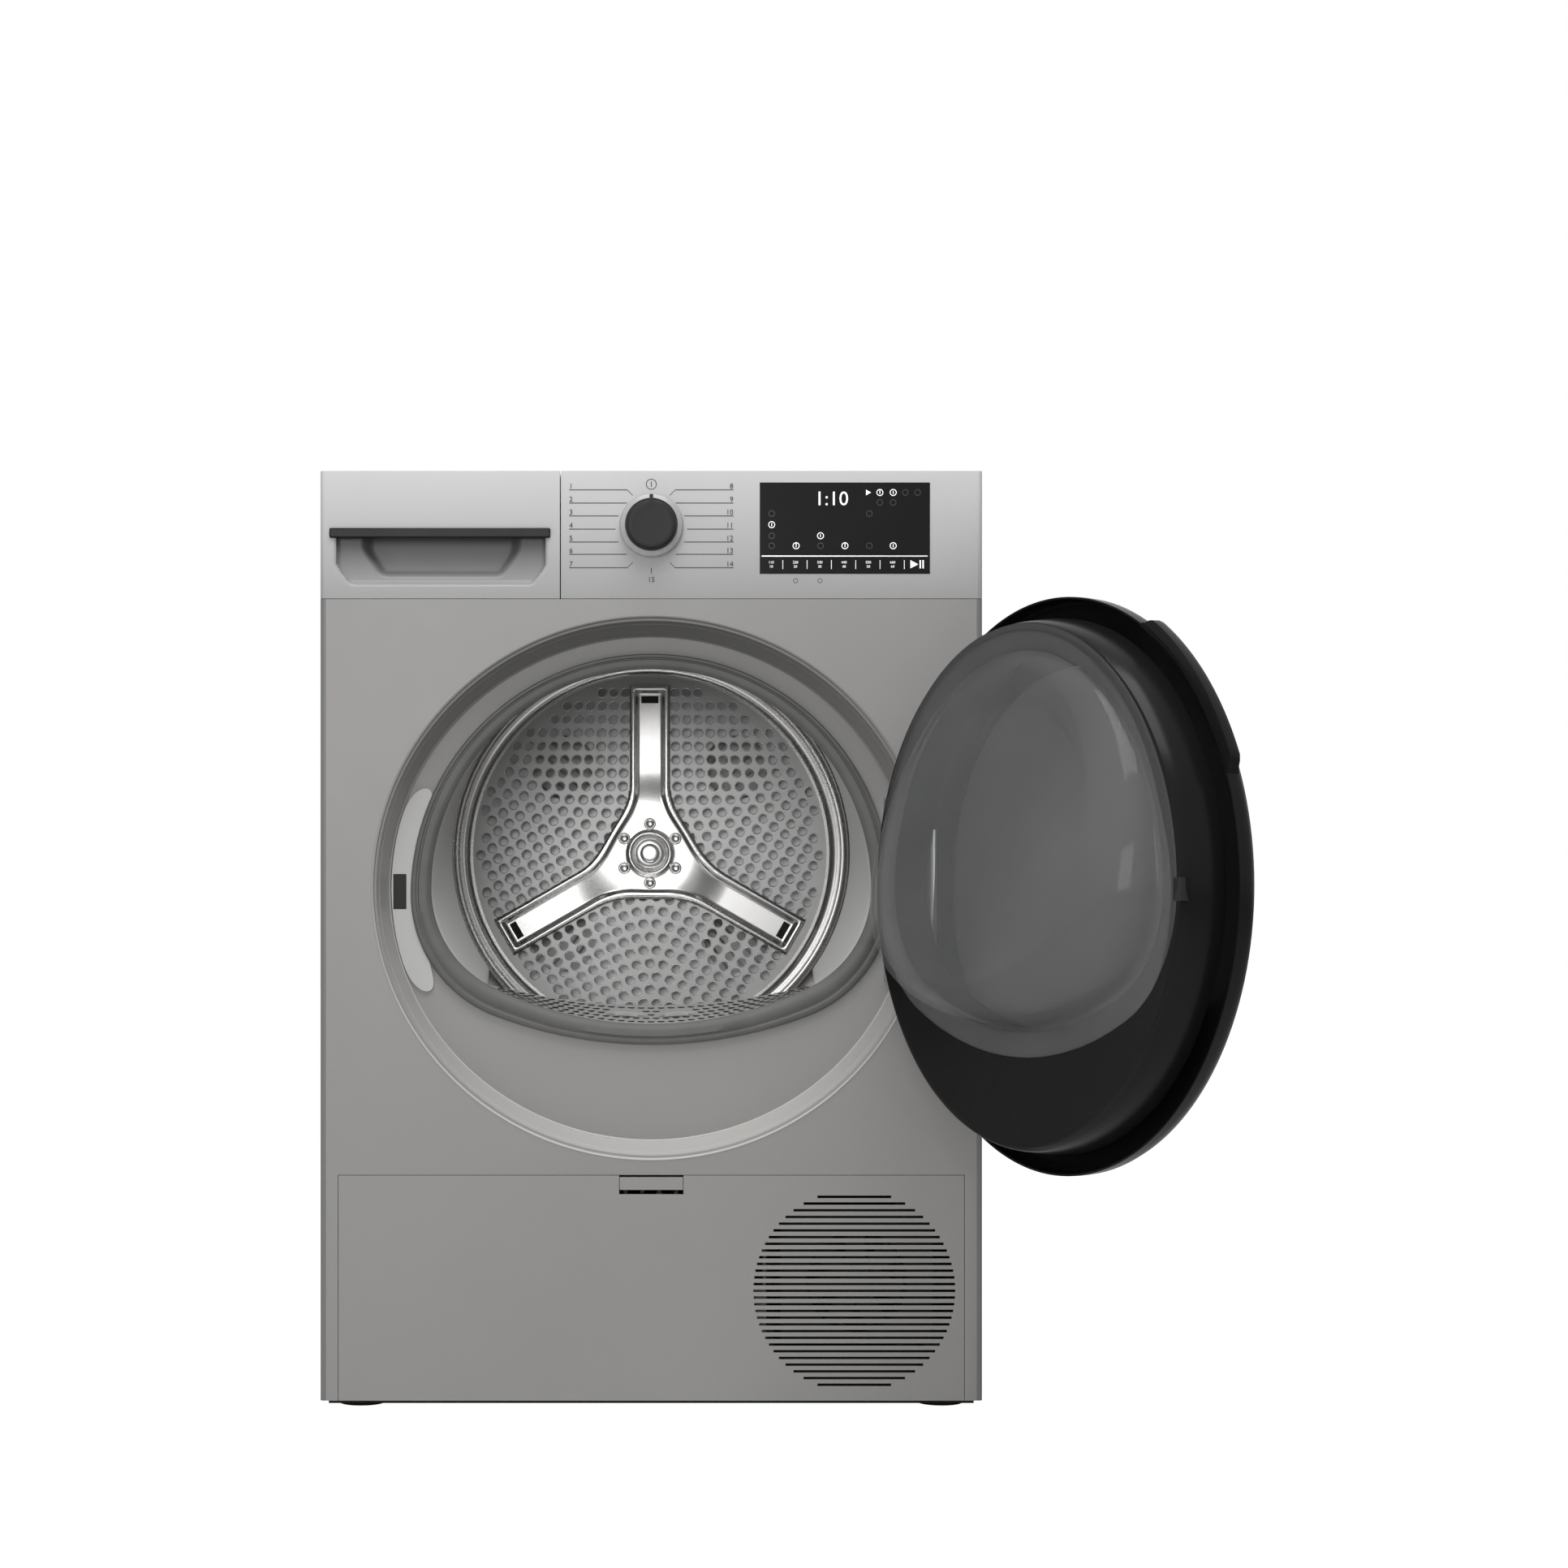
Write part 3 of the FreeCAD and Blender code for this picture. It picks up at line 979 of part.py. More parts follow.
def door():
    """Outer shell, window, inner frame, glass bowl, hinge arm and hook."""
    rim = "-cab_d / 2 - door_back"
    face = rim + " - door_t"
    outside = loft("shell_outside", [oval("shell_o0", "door_a", "door_b", rim),
                                     oval("shell_o1", "door_a", "door_b", face + " + 8"),
                                     oval("shell_o2", "door_a - 9", "door_b - 9", face),
                                     oval("shell_o3", "door_a - 60", "door_b - 60", face + " - crown")])
    lobe = common("grip_lobe", oval_rod("grip_oval", "door_a + 8.5", "door_b + 8.5", (face + " + 8", rim)),
                  padded("grip_wedge", [("0", "0"), ("-330 * cos(21)", "330 * sin(21)"),
                                        ("-330 * cos(41)", "330 * sin(41)"),
                                        ("-330 * cos(61)",
                                         "330 * sin(61)")], "60", y=rim + " + 10", z="door_z"))
    wall = "shell_wall"
    inside = loft("shell_inside", [oval("shell_i0", f"door_a - {wall}", f"door_b - {wall}", rim + " + 1"),
                                   oval("shell_i1", f"door_a - {wall}", f"door_b - {wall}", face + " + 11"),
                                   oval("shell_i2", "door_a - 12", "door_b - 12", face + " + 3"),
                                   oval("shell_i3", "door_a - 63", "door_b - 63", face + " - crown + 3")])
    opening = oval_rod("shell_opening", "window_a", "window_b", (face + " - 20", face + " + 20"))
    shell = carve("shell_rim", outside, inside, opening, *hinge_room("shell_room"))
    core = oval_rod("grip_core", "door_a - 1", "door_b - 1", (face + " + 5", rim + " + 1"))
    hang(fuse("door_shell", shell, cut("grip_crescent", lobe, core)))
    pane_y = (face + " - crown + 3.5", face + " - crown + 7.5")
    hang(oval_rod("door_window", "window_a - 0.5", "window_b - 0.5", pane_y))
    plug_y = (rim, rim + " + plug_t")
    plug = loft("plug_outer", [oval("plug_o0", "plug_a + 5", "plug_b", plug_y[0]),
                               oval("plug_o1", "plug_a - 3", "plug_b - 3", plug_y[1])])
    step = mouth_rod("plug_step", (plug_y[1] + " - 2.7", plug_y[1] + " + 1"), "seal_w - 1")
    hole = mouth_rod("plug_hole", (plug_y[0] + " - 5", plug_y[1] + " + 5"), "-bowl_inset + 0.3")
    back_space = oval_rod("plug_space", "plug_a - 4", "plug_b - 5", (plug_y[0] + " - 5", plug_y[0] + " + 8"))
    hang(carve("door_frame", plug, step, hole, back_space, *hinge_room("frame_room")))
    glass_bowl(plug_y[1])
    arm = box("arm_plate", ("hinge_x - 40", "hinge_x - 2"), ("hinge_y - 3", "hinge_y + 3"),
              ("hinge_low + lug_low + 0.5", "hinge_top - lug_top - 0.5"))
    knuckle = rod("arm_knuckle", "z", ("hinge_x", "hinge_y"), "knuckle_r",
                  ("hinge_low + lug_low + 0.5", "hinge_top - lug_top - 0.5"))
    bore = rod("arm_bore", "z", ("hinge_x", "hinge_y"), "pin_r + shaft_gap", ("0", "cab_h"))
    hang(cut("hinge_arm", fuse("arm_solid", arm, knuckle), bore))
    tip = plug_y[1] + " + 10"
    stem = box("hook_stem", ("-229.5", "-223.5"), (plug_y[1] + " + 0.2", tip), ("door_z - 12", "door_z + 6"))
    claw = box("hook_claw", ("-233", "-229.5"), (tip + " - 4", tip), ("door_z - 12", "door_z + 6"))
    foot = box("hook_foot", ("-229.5", "-220.5"), (plug_y[1], plug_y[1] + " + 2"),
               ("door_z - 12", "door_z + 6"))
    hang(fuse("door_hook", stem, claw, foot))


def glass_bowl(plane):
    """The moulded glass bowl: a flange in the door frame's step and a slanted nose."""
    flange = mouth_rod("bowl_flange", (f"{plane} - 2.5", plane), "seal_w - 1.3")
    skins = []
    for name, grow, nose in (("bowl_out", "-bowl_inset", "0"),
                             ("bowl_in", "-bowl_inset - bowl_wall", "bowl_wall")):
        base = mouth_sketch(name + "_base", f"{plane} - 2.5", grow)
        tip = doc.addObject("Part::Ellipse", name + "_tip")
        tip.setExpression("MajorRadius", bound(f"nose_a - {nose}"))
        tip.setExpression("MinorRadius", bound(f"nose_b - {nose}"))
        tilt = FreeCAD.Rotation(FreeCAD.Vector(1, 0, 0), 90 + size("nose_tilt"))
        tip.Placement = FreeCAD.Placement(FreeCAD.Vector(), tilt)
        place(tip, "0", f"{plane} + bowl_d - {nose}", "door_z + 34")
        skins.append(loft(name, [base, tip]))
    mouth = mouth_rod("bowl_mouth", (f"{plane} - 5", f"{plane} - 2.5"), "-bowl_inset - bowl_wall")
    hang(cut("door_bowl", fuse("bowl_solid", flange, skins[0]), skins[1], mouth))


# Kick plate


def kick_plate():
    """The hinged lower cover with its louvred grille, and its latch."""
    front = "-cab_d / 2"
    z = ("foot_gap", "kick_top")
    plate = box("kick_sheet", ("-kick_w / 2", "kick_w / 2"), (front, front + " + kick_rim"), z)
    hollow = box("kick_hollow", ("-kick_w / 2 + kick_t", "kick_w / 2 - kick_t"),
                 (front + " + kick_t", front + " + kick_rim + 1"),
                 (z[0] + " + kick_t", z[1] + " - kick_t"))
    slots = []
    for n in range(LOUVRES):
        height = f"({n - LOUVRES // 2} * slot_pitch)"
        half = f"sqrt(grille_r ^ 2 - {height} ^ 2)"
        middle = f"grille_z + {height}"
        slots.append(box(f"louvre_{n}", (f"grille_x - {half}", f"grille_x + {half}"),
                         (front + " - 1", front + " + 5"),
                         (f"{middle} - slot_t / 2", f"{middle} + slot_t / 2")))
    notch = box("kick_notch", ("-29", "29"), (front + " - 1", front + " + kick_rim + 1"),
                ("kick_top - 17", "kick_top + 1"))
    pegs = [rod(f"kick_peg_{n}", "x", (front + " + kick_rim / 2", "foot_gap + 6"), "3", span) for n,
            span in enumerate(
        (("-kick_w / 2 + kick_t", "-kick_w / 2 + 12"), ("kick_w / 2 - 12", "kick_w / 2 - kick_t")))]
    part(fuse("kick_plate", cut("kick_cover", plate, hollow, notch, *slots), *pegs))
    lip = box("latch_lip", ("-28.5", "28.5"), (front, front + " + 3"), ("kick_top - 13", "kick_top - 1.5"))
    shelf = box("latch_shelf", ("-28.5", "28.5"), (front + " + 3", front + " + 10"),
                ("kick_top - 13", "kick_top - 10"))
    part(fuse("kick_latch", lip, shelf))


def cabinet_screws():
    """Six screws that hold the rear panel to the side flanges, and two under the top panel."""
    screws = []
    for n, (side, z) in enumerate((s, z) for s in (-1, 1) for z in (90, 420, 780)):
        at = (f"{side} * (cab_w / 2 - 8)", str(z))
        screws.append(rod(f"screw_{n}", "y", at, "4.5", ("cab_d / 2", "cab_d / 2 + 2.2")))
    part(group("cabinet_screws", screws))


def build():
    """Draws every sub-part."""
    base_tray()
    levelling_feet()
    side_panel("side_panel_left", "-1")
    side_panel("side_panel_right", "1")
    rear_panel()
    top_panel()
    front_panel()
    control_fascia()
    knob()
    drawer()
    door_seal()
    funnel_and_filter()
    front_bulkhead()
    drum()
    drum_star()
    drum_support()
    drive()
    heat_pump()
    lock_and_hinge()
    door()
    kick_plate()
    cabinet_screws()
    doc.recompute()


def write_parts():
    """Checks every object and sub-part, then writes one STEP file for each."""
    faults = [o.Name for o in doc.Objects if "Invalid" in o.State or "Error" in o.State]
    for obj in PARTS:
        if obj.Shape.isNull() or not obj.Shape.isValid() or not obj.Shape.Solids:
            faults.append(obj.Label)
    if faults:
        raise RuntimeError("these did not build: " + ", ".join(faults))
    os.makedirs("parts", exist_ok=True)
    for obj in PARTS:
        obj.Shape.exportStep(f"parts/{obj.Label}.step")
    print(len(PARTS), "sub-parts written")


fill_sheet()
build()
write_parts()
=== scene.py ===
import json
import math
import bmesh
import bpy
from mathutils import Matrix, Vector

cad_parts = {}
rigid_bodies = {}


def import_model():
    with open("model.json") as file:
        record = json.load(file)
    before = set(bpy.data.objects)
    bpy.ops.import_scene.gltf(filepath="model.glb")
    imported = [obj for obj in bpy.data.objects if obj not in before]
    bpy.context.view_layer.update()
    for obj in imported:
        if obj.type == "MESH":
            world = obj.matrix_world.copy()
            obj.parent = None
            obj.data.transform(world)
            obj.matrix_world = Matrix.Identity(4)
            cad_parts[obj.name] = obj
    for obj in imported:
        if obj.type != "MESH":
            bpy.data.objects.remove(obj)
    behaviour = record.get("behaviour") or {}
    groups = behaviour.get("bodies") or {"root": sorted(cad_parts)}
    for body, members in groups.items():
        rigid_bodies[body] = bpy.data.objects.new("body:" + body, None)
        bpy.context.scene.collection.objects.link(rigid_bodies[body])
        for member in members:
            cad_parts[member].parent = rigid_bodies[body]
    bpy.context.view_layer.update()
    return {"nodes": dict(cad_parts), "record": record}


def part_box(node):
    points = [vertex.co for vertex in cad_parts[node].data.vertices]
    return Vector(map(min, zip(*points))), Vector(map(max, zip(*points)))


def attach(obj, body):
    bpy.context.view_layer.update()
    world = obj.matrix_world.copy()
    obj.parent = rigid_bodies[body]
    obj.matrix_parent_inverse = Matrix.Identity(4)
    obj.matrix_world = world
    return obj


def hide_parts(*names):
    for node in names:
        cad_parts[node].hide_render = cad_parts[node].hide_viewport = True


bl_info = {
    "name": "Clothes dryer",
    "version": (1, 0, 0),
    "blender": (4, 5, 0),
    "location": "View3D > Sidebar > Dryer",
    "description": "Finishes the pieces of a front-loading clothes dryer round its fixed frame",
    "category": "Object",
}

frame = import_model()
MM = 0.001
TAU = math.tau
UPRIGHT = Matrix.Rotation(math.pi / 2, 4, "X")


def joint(name):
    """A joint of the record by name."""
    return next(j for j in frame["record"]["behaviour"]["joints"] if j["name"] == name)


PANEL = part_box("front_panel")
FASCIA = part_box("control_fascia")
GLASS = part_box("display_glass")
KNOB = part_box("knob")
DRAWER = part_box("drawer_front")
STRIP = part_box("drawer_grip")
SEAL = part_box("door_seal")
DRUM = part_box("drum_back")
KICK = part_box("kick_plate")
FRONT_Y = PANEL[0][1]
DRUM_Z = joint("drum_spin")["pos_m"][2]
HINGE = Vector(joint("door_hinge")["pos_m"])
DOOR_ANGLE = math.radians(-joint("door_hinge")["range_deg"][0])
DOOR_Z = HINGE.z
SEAL_R = SEAL[1][0]
MOUTH_Z = SEAL[1][2] - SEAL_R + 5 * MM
RIM_Y = FRONT_Y - 7.5 * MM
SEAL_W = 18.5 * MM
RECESS_FLOOR = FRONT_Y + 34 * MM
BACK_FACE = DRUM[1][1] - 2 * MM
PRINT_FRONT, PRINT_REAR = FRONT_Y - 0.12 * MM, FRONT_Y + 0.3 * MM


def length_prop(name, description, default):
    """A length property with its default in metres."""
    return bpy.props.FloatProperty(name=name, description=description, default=default, unit="LENGTH")


class DryerSizes(bpy.types.PropertyGroup):
    """Sizes of the dryer's finer detail."""

    hole_r: length_prop("Hole radius", "Radius of a hole in the drum's back", 4.6 * MM)
    hole_pitch: length_prop("Hole pitch", "Spacing of those holes", 14 * MM)
    sheet_r: length_prop("Perforated radius", "Radius of the perforated disc", 186 * MM)
    line_w: length_prop("Line width", "Width of the printed leader lines", 0.75 * MM)
    print_h: length_prop("Print height", "Height of the printed numbers", 4.8 * MM)
    bead_r: length_prop("Bead radius", "Radius of the beads round the door recess", 1.1 * MM)


def colour_prop(name, grey):
    """A colour property with a default tone."""
    rgb = (grey, grey, grey) if isinstance(grey, (int, float)) else grey
    return bpy.props.FloatVectorProperty(name=name, description="Base colour", subtype="COLOR", size=3,
                                         min=0, max=1, default=rgb)


class DryerColours(bpy.types.PropertyGroup):
    """Base colours, as linear values."""

    body: colour_prop("Body paint", (0.236, 0.232, 0.226))
    side: colour_prop("Side paint", (0.150, 0.150, 0.150))
    fascia: colour_prop("Fascia", (0.445, 0.445, 0.448))
    plastic: colour_prop("Grey plastic", (0.300, 0.298, 0.293))
    black: colour_prop("Black plastic", 0.0075)
    dark: colour_prop("Dark plastic", 0.022)
    rubber: colour_prop("Seal rubber", (0.092, 0.091, 0.088))
    steel: colour_prop("Drum steel", (0.66, 0.655, 0.645))
    zinc: colour_prop("Zinc steel", (0.55, 0.56, 0.57))
    ink: colour_prop("Ink", 0.03)
    lit: colour_prop("Display light", (0.75, 0.77, 0.80))


# Shader helpers


class Signal:
    """A shader socket that takes arithmetic."""

    def __init__(self, tree, socket):
        self.tree = tree
        self.socket = socket

    def maths(self, operation, other, swap=False):
        node = self.tree.nodes.new("ShaderNodeMath")
        node.operation = operation
        pair = (other, self) if swap else (self, other)
        for slot_in, item in zip(node.inputs, pair):
            if isinstance(item, Signal):
                self.tree.links.new(item.socket, slot_in)
            else:
                slot_in.default_value = item
        return Signal(self.tree, node.outputs[0])

    def __add__(self, other):
        return self.maths("ADD", other)

    __radd__ = __add__

    def __mul__(self, other):
        return self.maths("MULTIPLY", other)

    __rmul__ = __mul__

    def __sub__(self, other):
        return self.maths("SUBTRACT", other)

    def __rsub__(self, other):
        return self.maths("SUBTRACT", other, swap=True)

    def __truediv__(self, other):
        return self.maths("DIVIDE", other)

    def __rtruediv__(self, other):
        return self.maths("DIVIDE", other, swap=True)


class Finish:
    """A material under construction."""

    def __init__(self, name):
        self.material = bpy.data.materials.new(name)
        self.material.use_nodes = True
        self.tree = self.material.node_tree
        self.shader = self.tree.nodes["Principled BSDF"]

    def node(self, kind, settings=None, **values):
        """Adds a node: its settings first, then the values or links of its sockets."""
        made = self.tree.nodes.new(kind)
        for key, value in (settings or {}).items():
            setattr(made, key, value)
        for key, value in values.items():
            self.feed(made.inputs[key.replace("_", " ")], value)
        return made

    def feed(self, socket, value):
        """Links a signal to a socket, or sets its plain value."""
        if isinstance(value, Signal):
            self.tree.links.new(value.socket, socket)
        else:
            socket.default_value = value

    def out(self, node, name):
        return Signal(self.tree, node.outputs[name])

    def place(self, stretch=(1, 1, 1)):
        """Object coordinates, stretched."""
        here = self.node("ShaderNodeTexCoord")
        moved = self.node("ShaderNodeMapping", None, Vector=self.out(here, "Object"), Scale=stretch)
        return self.out(moved, "Vector")

    def noise(self, scale, detail=3.0, rough=0.5, stretch=(1, 1, 1)):
        made = self.node("ShaderNodeTexNoise", None, Vector=self.place(stretch), Scale=scale, Detail=detail,
                         Roughness=rough)
        return self.out(made, "Fac")

    def tint(self, colour, factor, low, high):
        """The colour between a darker and a lighter tone, by a factor."""
        ramp = self.node("ShaderNodeValToRGB", None, Fac=factor)
        for stop, gain in zip(ramp.color_ramp.elements, (low, high)):
            stop.color = (*[min(1.0, c * gain) for c in colour], 1)
        ramp.color_ramp.elements[0].position = 0.3
        ramp.color_ramp.elements[1].position = 0.7
        return self.out(ramp, "Color")

    def bump(self, height, strength, distance):
        made = self.node("ShaderNodeBump", None, Height=height, Strength=strength, Distance=distance)
        return self.out(made, "Normal")

    def set(self, **values):
        for key, value in values.items():
            self.feed(self.shader.inputs[key.replace("_", " ")], value)
        return self.material


def painted(name, colour, rough=0.38, peel=0.12, specular=0.4):
    """Sprayed paint or moulded plastic: a fine skin, faint mottling and uneven gloss."""
    made = Finish(name)
    broad, fine = made.noise(6.0), made.noise(900.0, 2.0)
    smears = made.noise(38.0, 5.0, 0.62)
    return made.set(
        Base_Color=made.tint(colour, broad * 0.6 + fine * 0.4, 0.965, 1.03),
        Roughness=smears * 0.10 + (rough - 0.05),
        Normal=made.bump(fine, peel, 0.0002), Specular_IOR_Level=specular)


def graded(name, colour, low, high, painted_light_gains=(0.70, 1.12)):
    """Paint or plastic with painted light and shade: its tone runs evenly from its foot to its top edge, as
    the lamps' light falls, with a fine skin.
    """
    made = Finish(name)
    here = made.node("ShaderNodeSeparateXYZ", None, Vector=made.place())
    share = (made.out(here, "Z") - low) / (high - low)
    fine, smears = made.noise(900.0, 2.0), made.noise(38.0, 5.0, 0.62)
    ramp = made.node("ShaderNodeValToRGB", None, Fac=share * 0.96 + fine * 0.04)
    for stop, gain in zip(ramp.color_ramp.elements, painted_light_gains):
        stop.color = (*[c * gain for c in colour], 1)
    return made.set(Base_Color=made.out(ramp, "Color"), Roughness=smears * 0.10 + 0.38,
                    Normal=made.bump(fine, 0.12, 0.0002), Specular_IOR_Level=0.35)


def brushed(name, colour, rough=0.25, stretch=(1, 1, 1), scale=700.0):
    """Bare rolled sheet metal: fine directional grain, cloudy gloss and faint stains."""
    made = Finish(name)
    grain = made.noise(scale, 4.0, 0.7, stretch)
    cloud = made.noise(11.0, 4.0)
    return made.set(
        Base_Color=made.tint(colour, cloud * 0.7 + grain * 0.3, 0.9, 1.04), Metallic=1.0,
        Roughness=grain * 0.10 + cloud * 0.08 + (rough - 0.08), Normal=made.bump(grain, 0.05, 0.0002))


def rubbery(name, colour):
    """Matt rubber with a dusty bloom."""
    made = Finish(name)
    dust, skin = made.noise(30.0, 5.0, 0.6), made.noise(1400.0, 2.0)
    return made.set(Base_Color=made.tint(colour, dust, 0.88, 1.15), Roughness=dust * 0.2 + 0.5,
                    Normal=made.bump(skin, 0.2, 0.0002))


def glassy(name, colour, alpha, shine, rough=0.05):
    """Clear or smoked moulded glass, seen through, with a gloss on top."""
    made = Finish(name)
    haze = made.noise(9.0, 3.0)
    made.material.surface_render_method = "DITHERED"
    return made.set(Base_Color=made.tint(colour, haze, 0.94, 1.06), Roughness=haze * 0.03 + rough,
                    Alpha=haze * 0.04 + (alpha - 0.02), IOR=1.5, Specular_IOR_Level=shine)


def glowing(name, colour, strength):
    """A lit mark on the display."""
    made = Finish(name)
    grain = made.noise(2500.0, 1.0)
    return made.set(Base_Color=made.tint(colour, grain, 0.95, 1.0), Roughness=0.4,
                    Emission_Color=made.tint(colour, grain, 0.95, 1.0), Emission_Strength=strength)


def felted(name, colour):
    """Pressed wool felt."""
    made = Finish(name)
    fibre = made.noise(700.0, 6.0, 0.75)
    return made.set(Base_Color=made.tint(colour, fibre, 0.7, 1.2), Roughness=0.95,
                    Normal=made.bump(fibre, 0.8, 0.0008))


FINISHES = {}


def make_finishes():
    """One material for each slot of the record, and a few for printed detail."""
    c = bpy.context.scene.dryer_colours
    recess_h = 244 * MM
    FINISHES.update(
        body_paint=painted("body_paint", c.body), side_paint=painted("side_paint", c.side),
        # Fascia tone: painted light and shade, darker towards the foot and lighter at the top, as light from
        # above falls.
        fascia_plastic=graded("fascia_plastic", c.fascia, FASCIA[0][2], FASCIA[1][2], (0.62, 1.14)),
        grey_plastic=painted("grey_plastic", c.plastic, 0.45),
        black_plastic=painted("black_plastic", c.black, 0.24, 0.03, 0.12),
        dark_plastic=painted("dark_plastic", c.dark, 0.42, 0.2, 0.15),
        smoked_glass=glassy("smoked_glass", (0.066, 0.066, 0.068), 0.94, 0.12),
        clear_glass=glassy("clear_glass", (0.26, 0.262, 0.265), 0.20, 0.3),
        display=painted("display", (0.0105, 0.0105, 0.011), 0.2, 0.01, 0.08),
        seal_rubber=rubbery("seal_rubber", c.rubber), drum_steel=brushed("drum_steel", c.steel),
        zinc_steel=brushed("zinc_steel", c.zinc, 0.42, scale=200.0),
        copper=brushed("copper", (0.72, 0.36, 0.22), 0.3), alu_fins=brushed("alu_fins", (0.75, 0.76, 0.78),
                                                                            0.35),
        felt=felted("felt", (0.33, 0.32, 0.30)), belt_rubber=rubbery("belt_rubber", (0.03, 0.03, 0.03)),
        tank_plastic=painted("tank_plastic", (0.55, 0.56, 0.56), 0.4),
        filter_plastic=painted("filter_plastic", (0.27, 0.268, 0.262), 0.5),
        sheet_steel=brushed("sheet_steel", (0.36, 0.357, 0.35), 0.38),
        # Scoop tone: painted shade, the drawer's scoop darker towards its top under the overhanging grip
        # strip.
        scoop=graded("scoop", c.fascia, 745 * MM, 786 * MM, (0.62, 0.10)),
        # Door recess wall and beads: painted light and shade, lighter at the recess's foot and darker at its
        # top, as light from above falls.
        recess_wall=graded("recess_wall", c.body, DOOR_Z - recess_h, DOOR_Z + recess_h, (1.75, 0.42)),
        recess_rim=graded("recess_rim", c.body, DOOR_Z - recess_h, DOOR_Z + recess_h, (2.1, 0.36)),
        funnel=painted("funnel", (0.42, 0.417, 0.41), 0.5),
        silver_paint=painted("silver_paint", (0.34, 0.34, 0.345), 0.28),
        ink=painted("ink", c.ink, 0.5, 0.02), lit=glowing("lit", c.lit, 0.55),
        unlit=painted("unlit", (0.035, 0.035, 0.037), 0.3, 0.02), silver=brushed("silver", (0.72, 0.72, 0.72),
                                                                                 0.3),
        # Pit: near-black painted shade for the depth of slots and gaps, and also the colour of the knob's
        # pointer.
        pit=painted("pit", (0.012, 0.012, 0.012), 0.7, 0.05))


# Mesh helpers


def add_piece(name, verts, faces, slot, body, finish=None, smooth=30.0, normals=True):
    """A finished piece from points and faces, riding on its body."""
    mesh = bpy.data.meshes.new(name)
    mesh.from_pydata([tuple(v) for v in verts], [], faces)
    return add_mesh(name, mesh, slot, body, finish, smooth, normals)


def add_mesh(name, mesh, slot, body, finish=None, smooth=30.0, normals=True):
    """A finished piece from a mesh: merged, outward, and smooth apart from its sharp edges."""
    work = bmesh.new()
    work.from_mesh(mesh)
    bmesh.ops.remove_doubles(work, verts=work.verts, dist=1e-6)
    if normals:
        bmesh.ops.recalc_face_normals(work, faces=work.faces)
    work.to_mesh(mesh)
    work.free()
    for face in mesh.polygons:
        face.use_smooth = True
    mesh.set_sharp_from_angle(angle=math.radians(smooth))
    mesh.materials.clear()
    mesh.materials.append(FINISHES[finish or slot])
    piece = bpy.data.objects.new(name, mesh)
    bpy.context.scene.collection.objects.link(piece)
    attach(piece, body)
    return piece


def evaluated(holder):
    """The plain mesh that an object has with its modifiers applied."""
    bpy.context.view_layer.update()
    return bpy.data.meshes.new_from_object(holder.evaluated_get(bpy.context.evaluated_depsgraph_get()))


def grid_faces(rows, columns, closed=False):
    """Quads over a grid of points, closed round its columns where asked."""
    faces = []
    for i in range(rows - 1):
        for j in range(columns if closed else columns - 1):
            k = (j + 1) % columns
            faces.append((i * columns + j, i * columns + k, (i + 1) * columns + k, (i + 1) * columns + j))
    return faces


def skin_rings(name, rings, slot, body, finish=None, cyclic=True, caps=True, smooth=30.0):
    """A skin through like rings of points: cyclic joins the last ring to the first."""
    count = len(rings[0])
    verts = [v for ring in rings for v in ring]
    loops = rings + [rings[0]] if cyclic else rings
    faces = grid_faces(len(rings), count, True)
    if cyclic:
        last = (len(loops) - 2) * count
        faces += [(last + j, last + (j + 1) % count, (j + 1) % count, j) for j in range(count)]
    elif caps:
        faces.append(tuple(range(count)))
        faces.append(tuple(range((len(rings) - 1) * count, len(rings) * count)))
    return add_piece(name, verts, faces, slot, body, finish, smooth)


def oval_ring(half_w, half_h, y, centre_z, count=144, centre_x=0.0):
    """Points of an upright ellipse."""
    turns = [TAU * n / count for n in range(count)]
    return [Vector((centre_x + half_w * math.cos(t), y, centre_z + half_h * math.sin(t))) for t in turns]


def mouth_ring(grow, y, drop=0.0, count=40):
    """Points of the mouth's outline: half circle, corner arcs and a long lower arc."""
    radius = SEAL_R - SEAL_W + grow
    side = 100.5 * MM
    corner = radius - side
    low = 123.3 * MM + grow - drop
    sag = (side ** 2 + low ** 2 - corner ** 2) / (2 * (low - corner))
    lean = math.atan2(sag - low, side)
    arcs = [(0, 0, radius, 0, math.pi, 2 * count), (-side, 0, corner, math.pi, math.pi + lean, count),
            (0, sag - low, sag, math.pi + lean, TAU - lean, count), (side, 0, corner, TAU - lean, TAU, count)]
    ring = []
    for x, z, r, start, stop, steps in arcs:
        for n in range(steps):
            turn = start + (stop - start) * n / steps
            ring.append(Vector((x + r * math.cos(turn), y, MOUTH_Z - drop + z + r * math.sin(turn))))
    return ring


def swing(points):
    """Points drawn with the door shut, turned to its stored opening."""
    turn = Matrix.Rotation(DOOR_ANGLE, 3, "Z")
    return [HINGE + turn @ (Vector(p) - HINGE) for p in points]


def step(low, high, x):
    """0 below low, 1 above high, and a smooth rise between."""
    t = min(1.0, max(0.0, (x - low) / (high - low)))
    return t * t * (3 - 2 * t)


def polish(node, body=None, finish=None, angle=30.0):
    """Stands a smooth-shaded copy of a CAD node in its place."""
    source = frame["nodes"][node]
    record_slot = next(s["material_slot"] for s in frame["record"]["subparts"] if s["node"] == node)
    owner = next(b for b, names in frame["record"]["behaviour"]["bodies"].items() if node in names)
    mesh = source.data.copy()
    mesh.transform(source.matrix_world)
    piece = add_mesh(node + "_finish", mesh, record_slot, body or owner, finish, angle, False)
    level(piece)
    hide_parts(node)
    return piece


def level(piece):
    """Weights the normals by face area, so that a flat face stays flat up to its rounded edges."""
    modifier = piece.modifiers.new("level", "WEIGHTED_NORMAL")
    modifier.keep_sharp = True
    modifier.weight = 100
    levelled = evaluated(piece)
    piece.modifiers.remove(modifier)
    piece.data = levelled


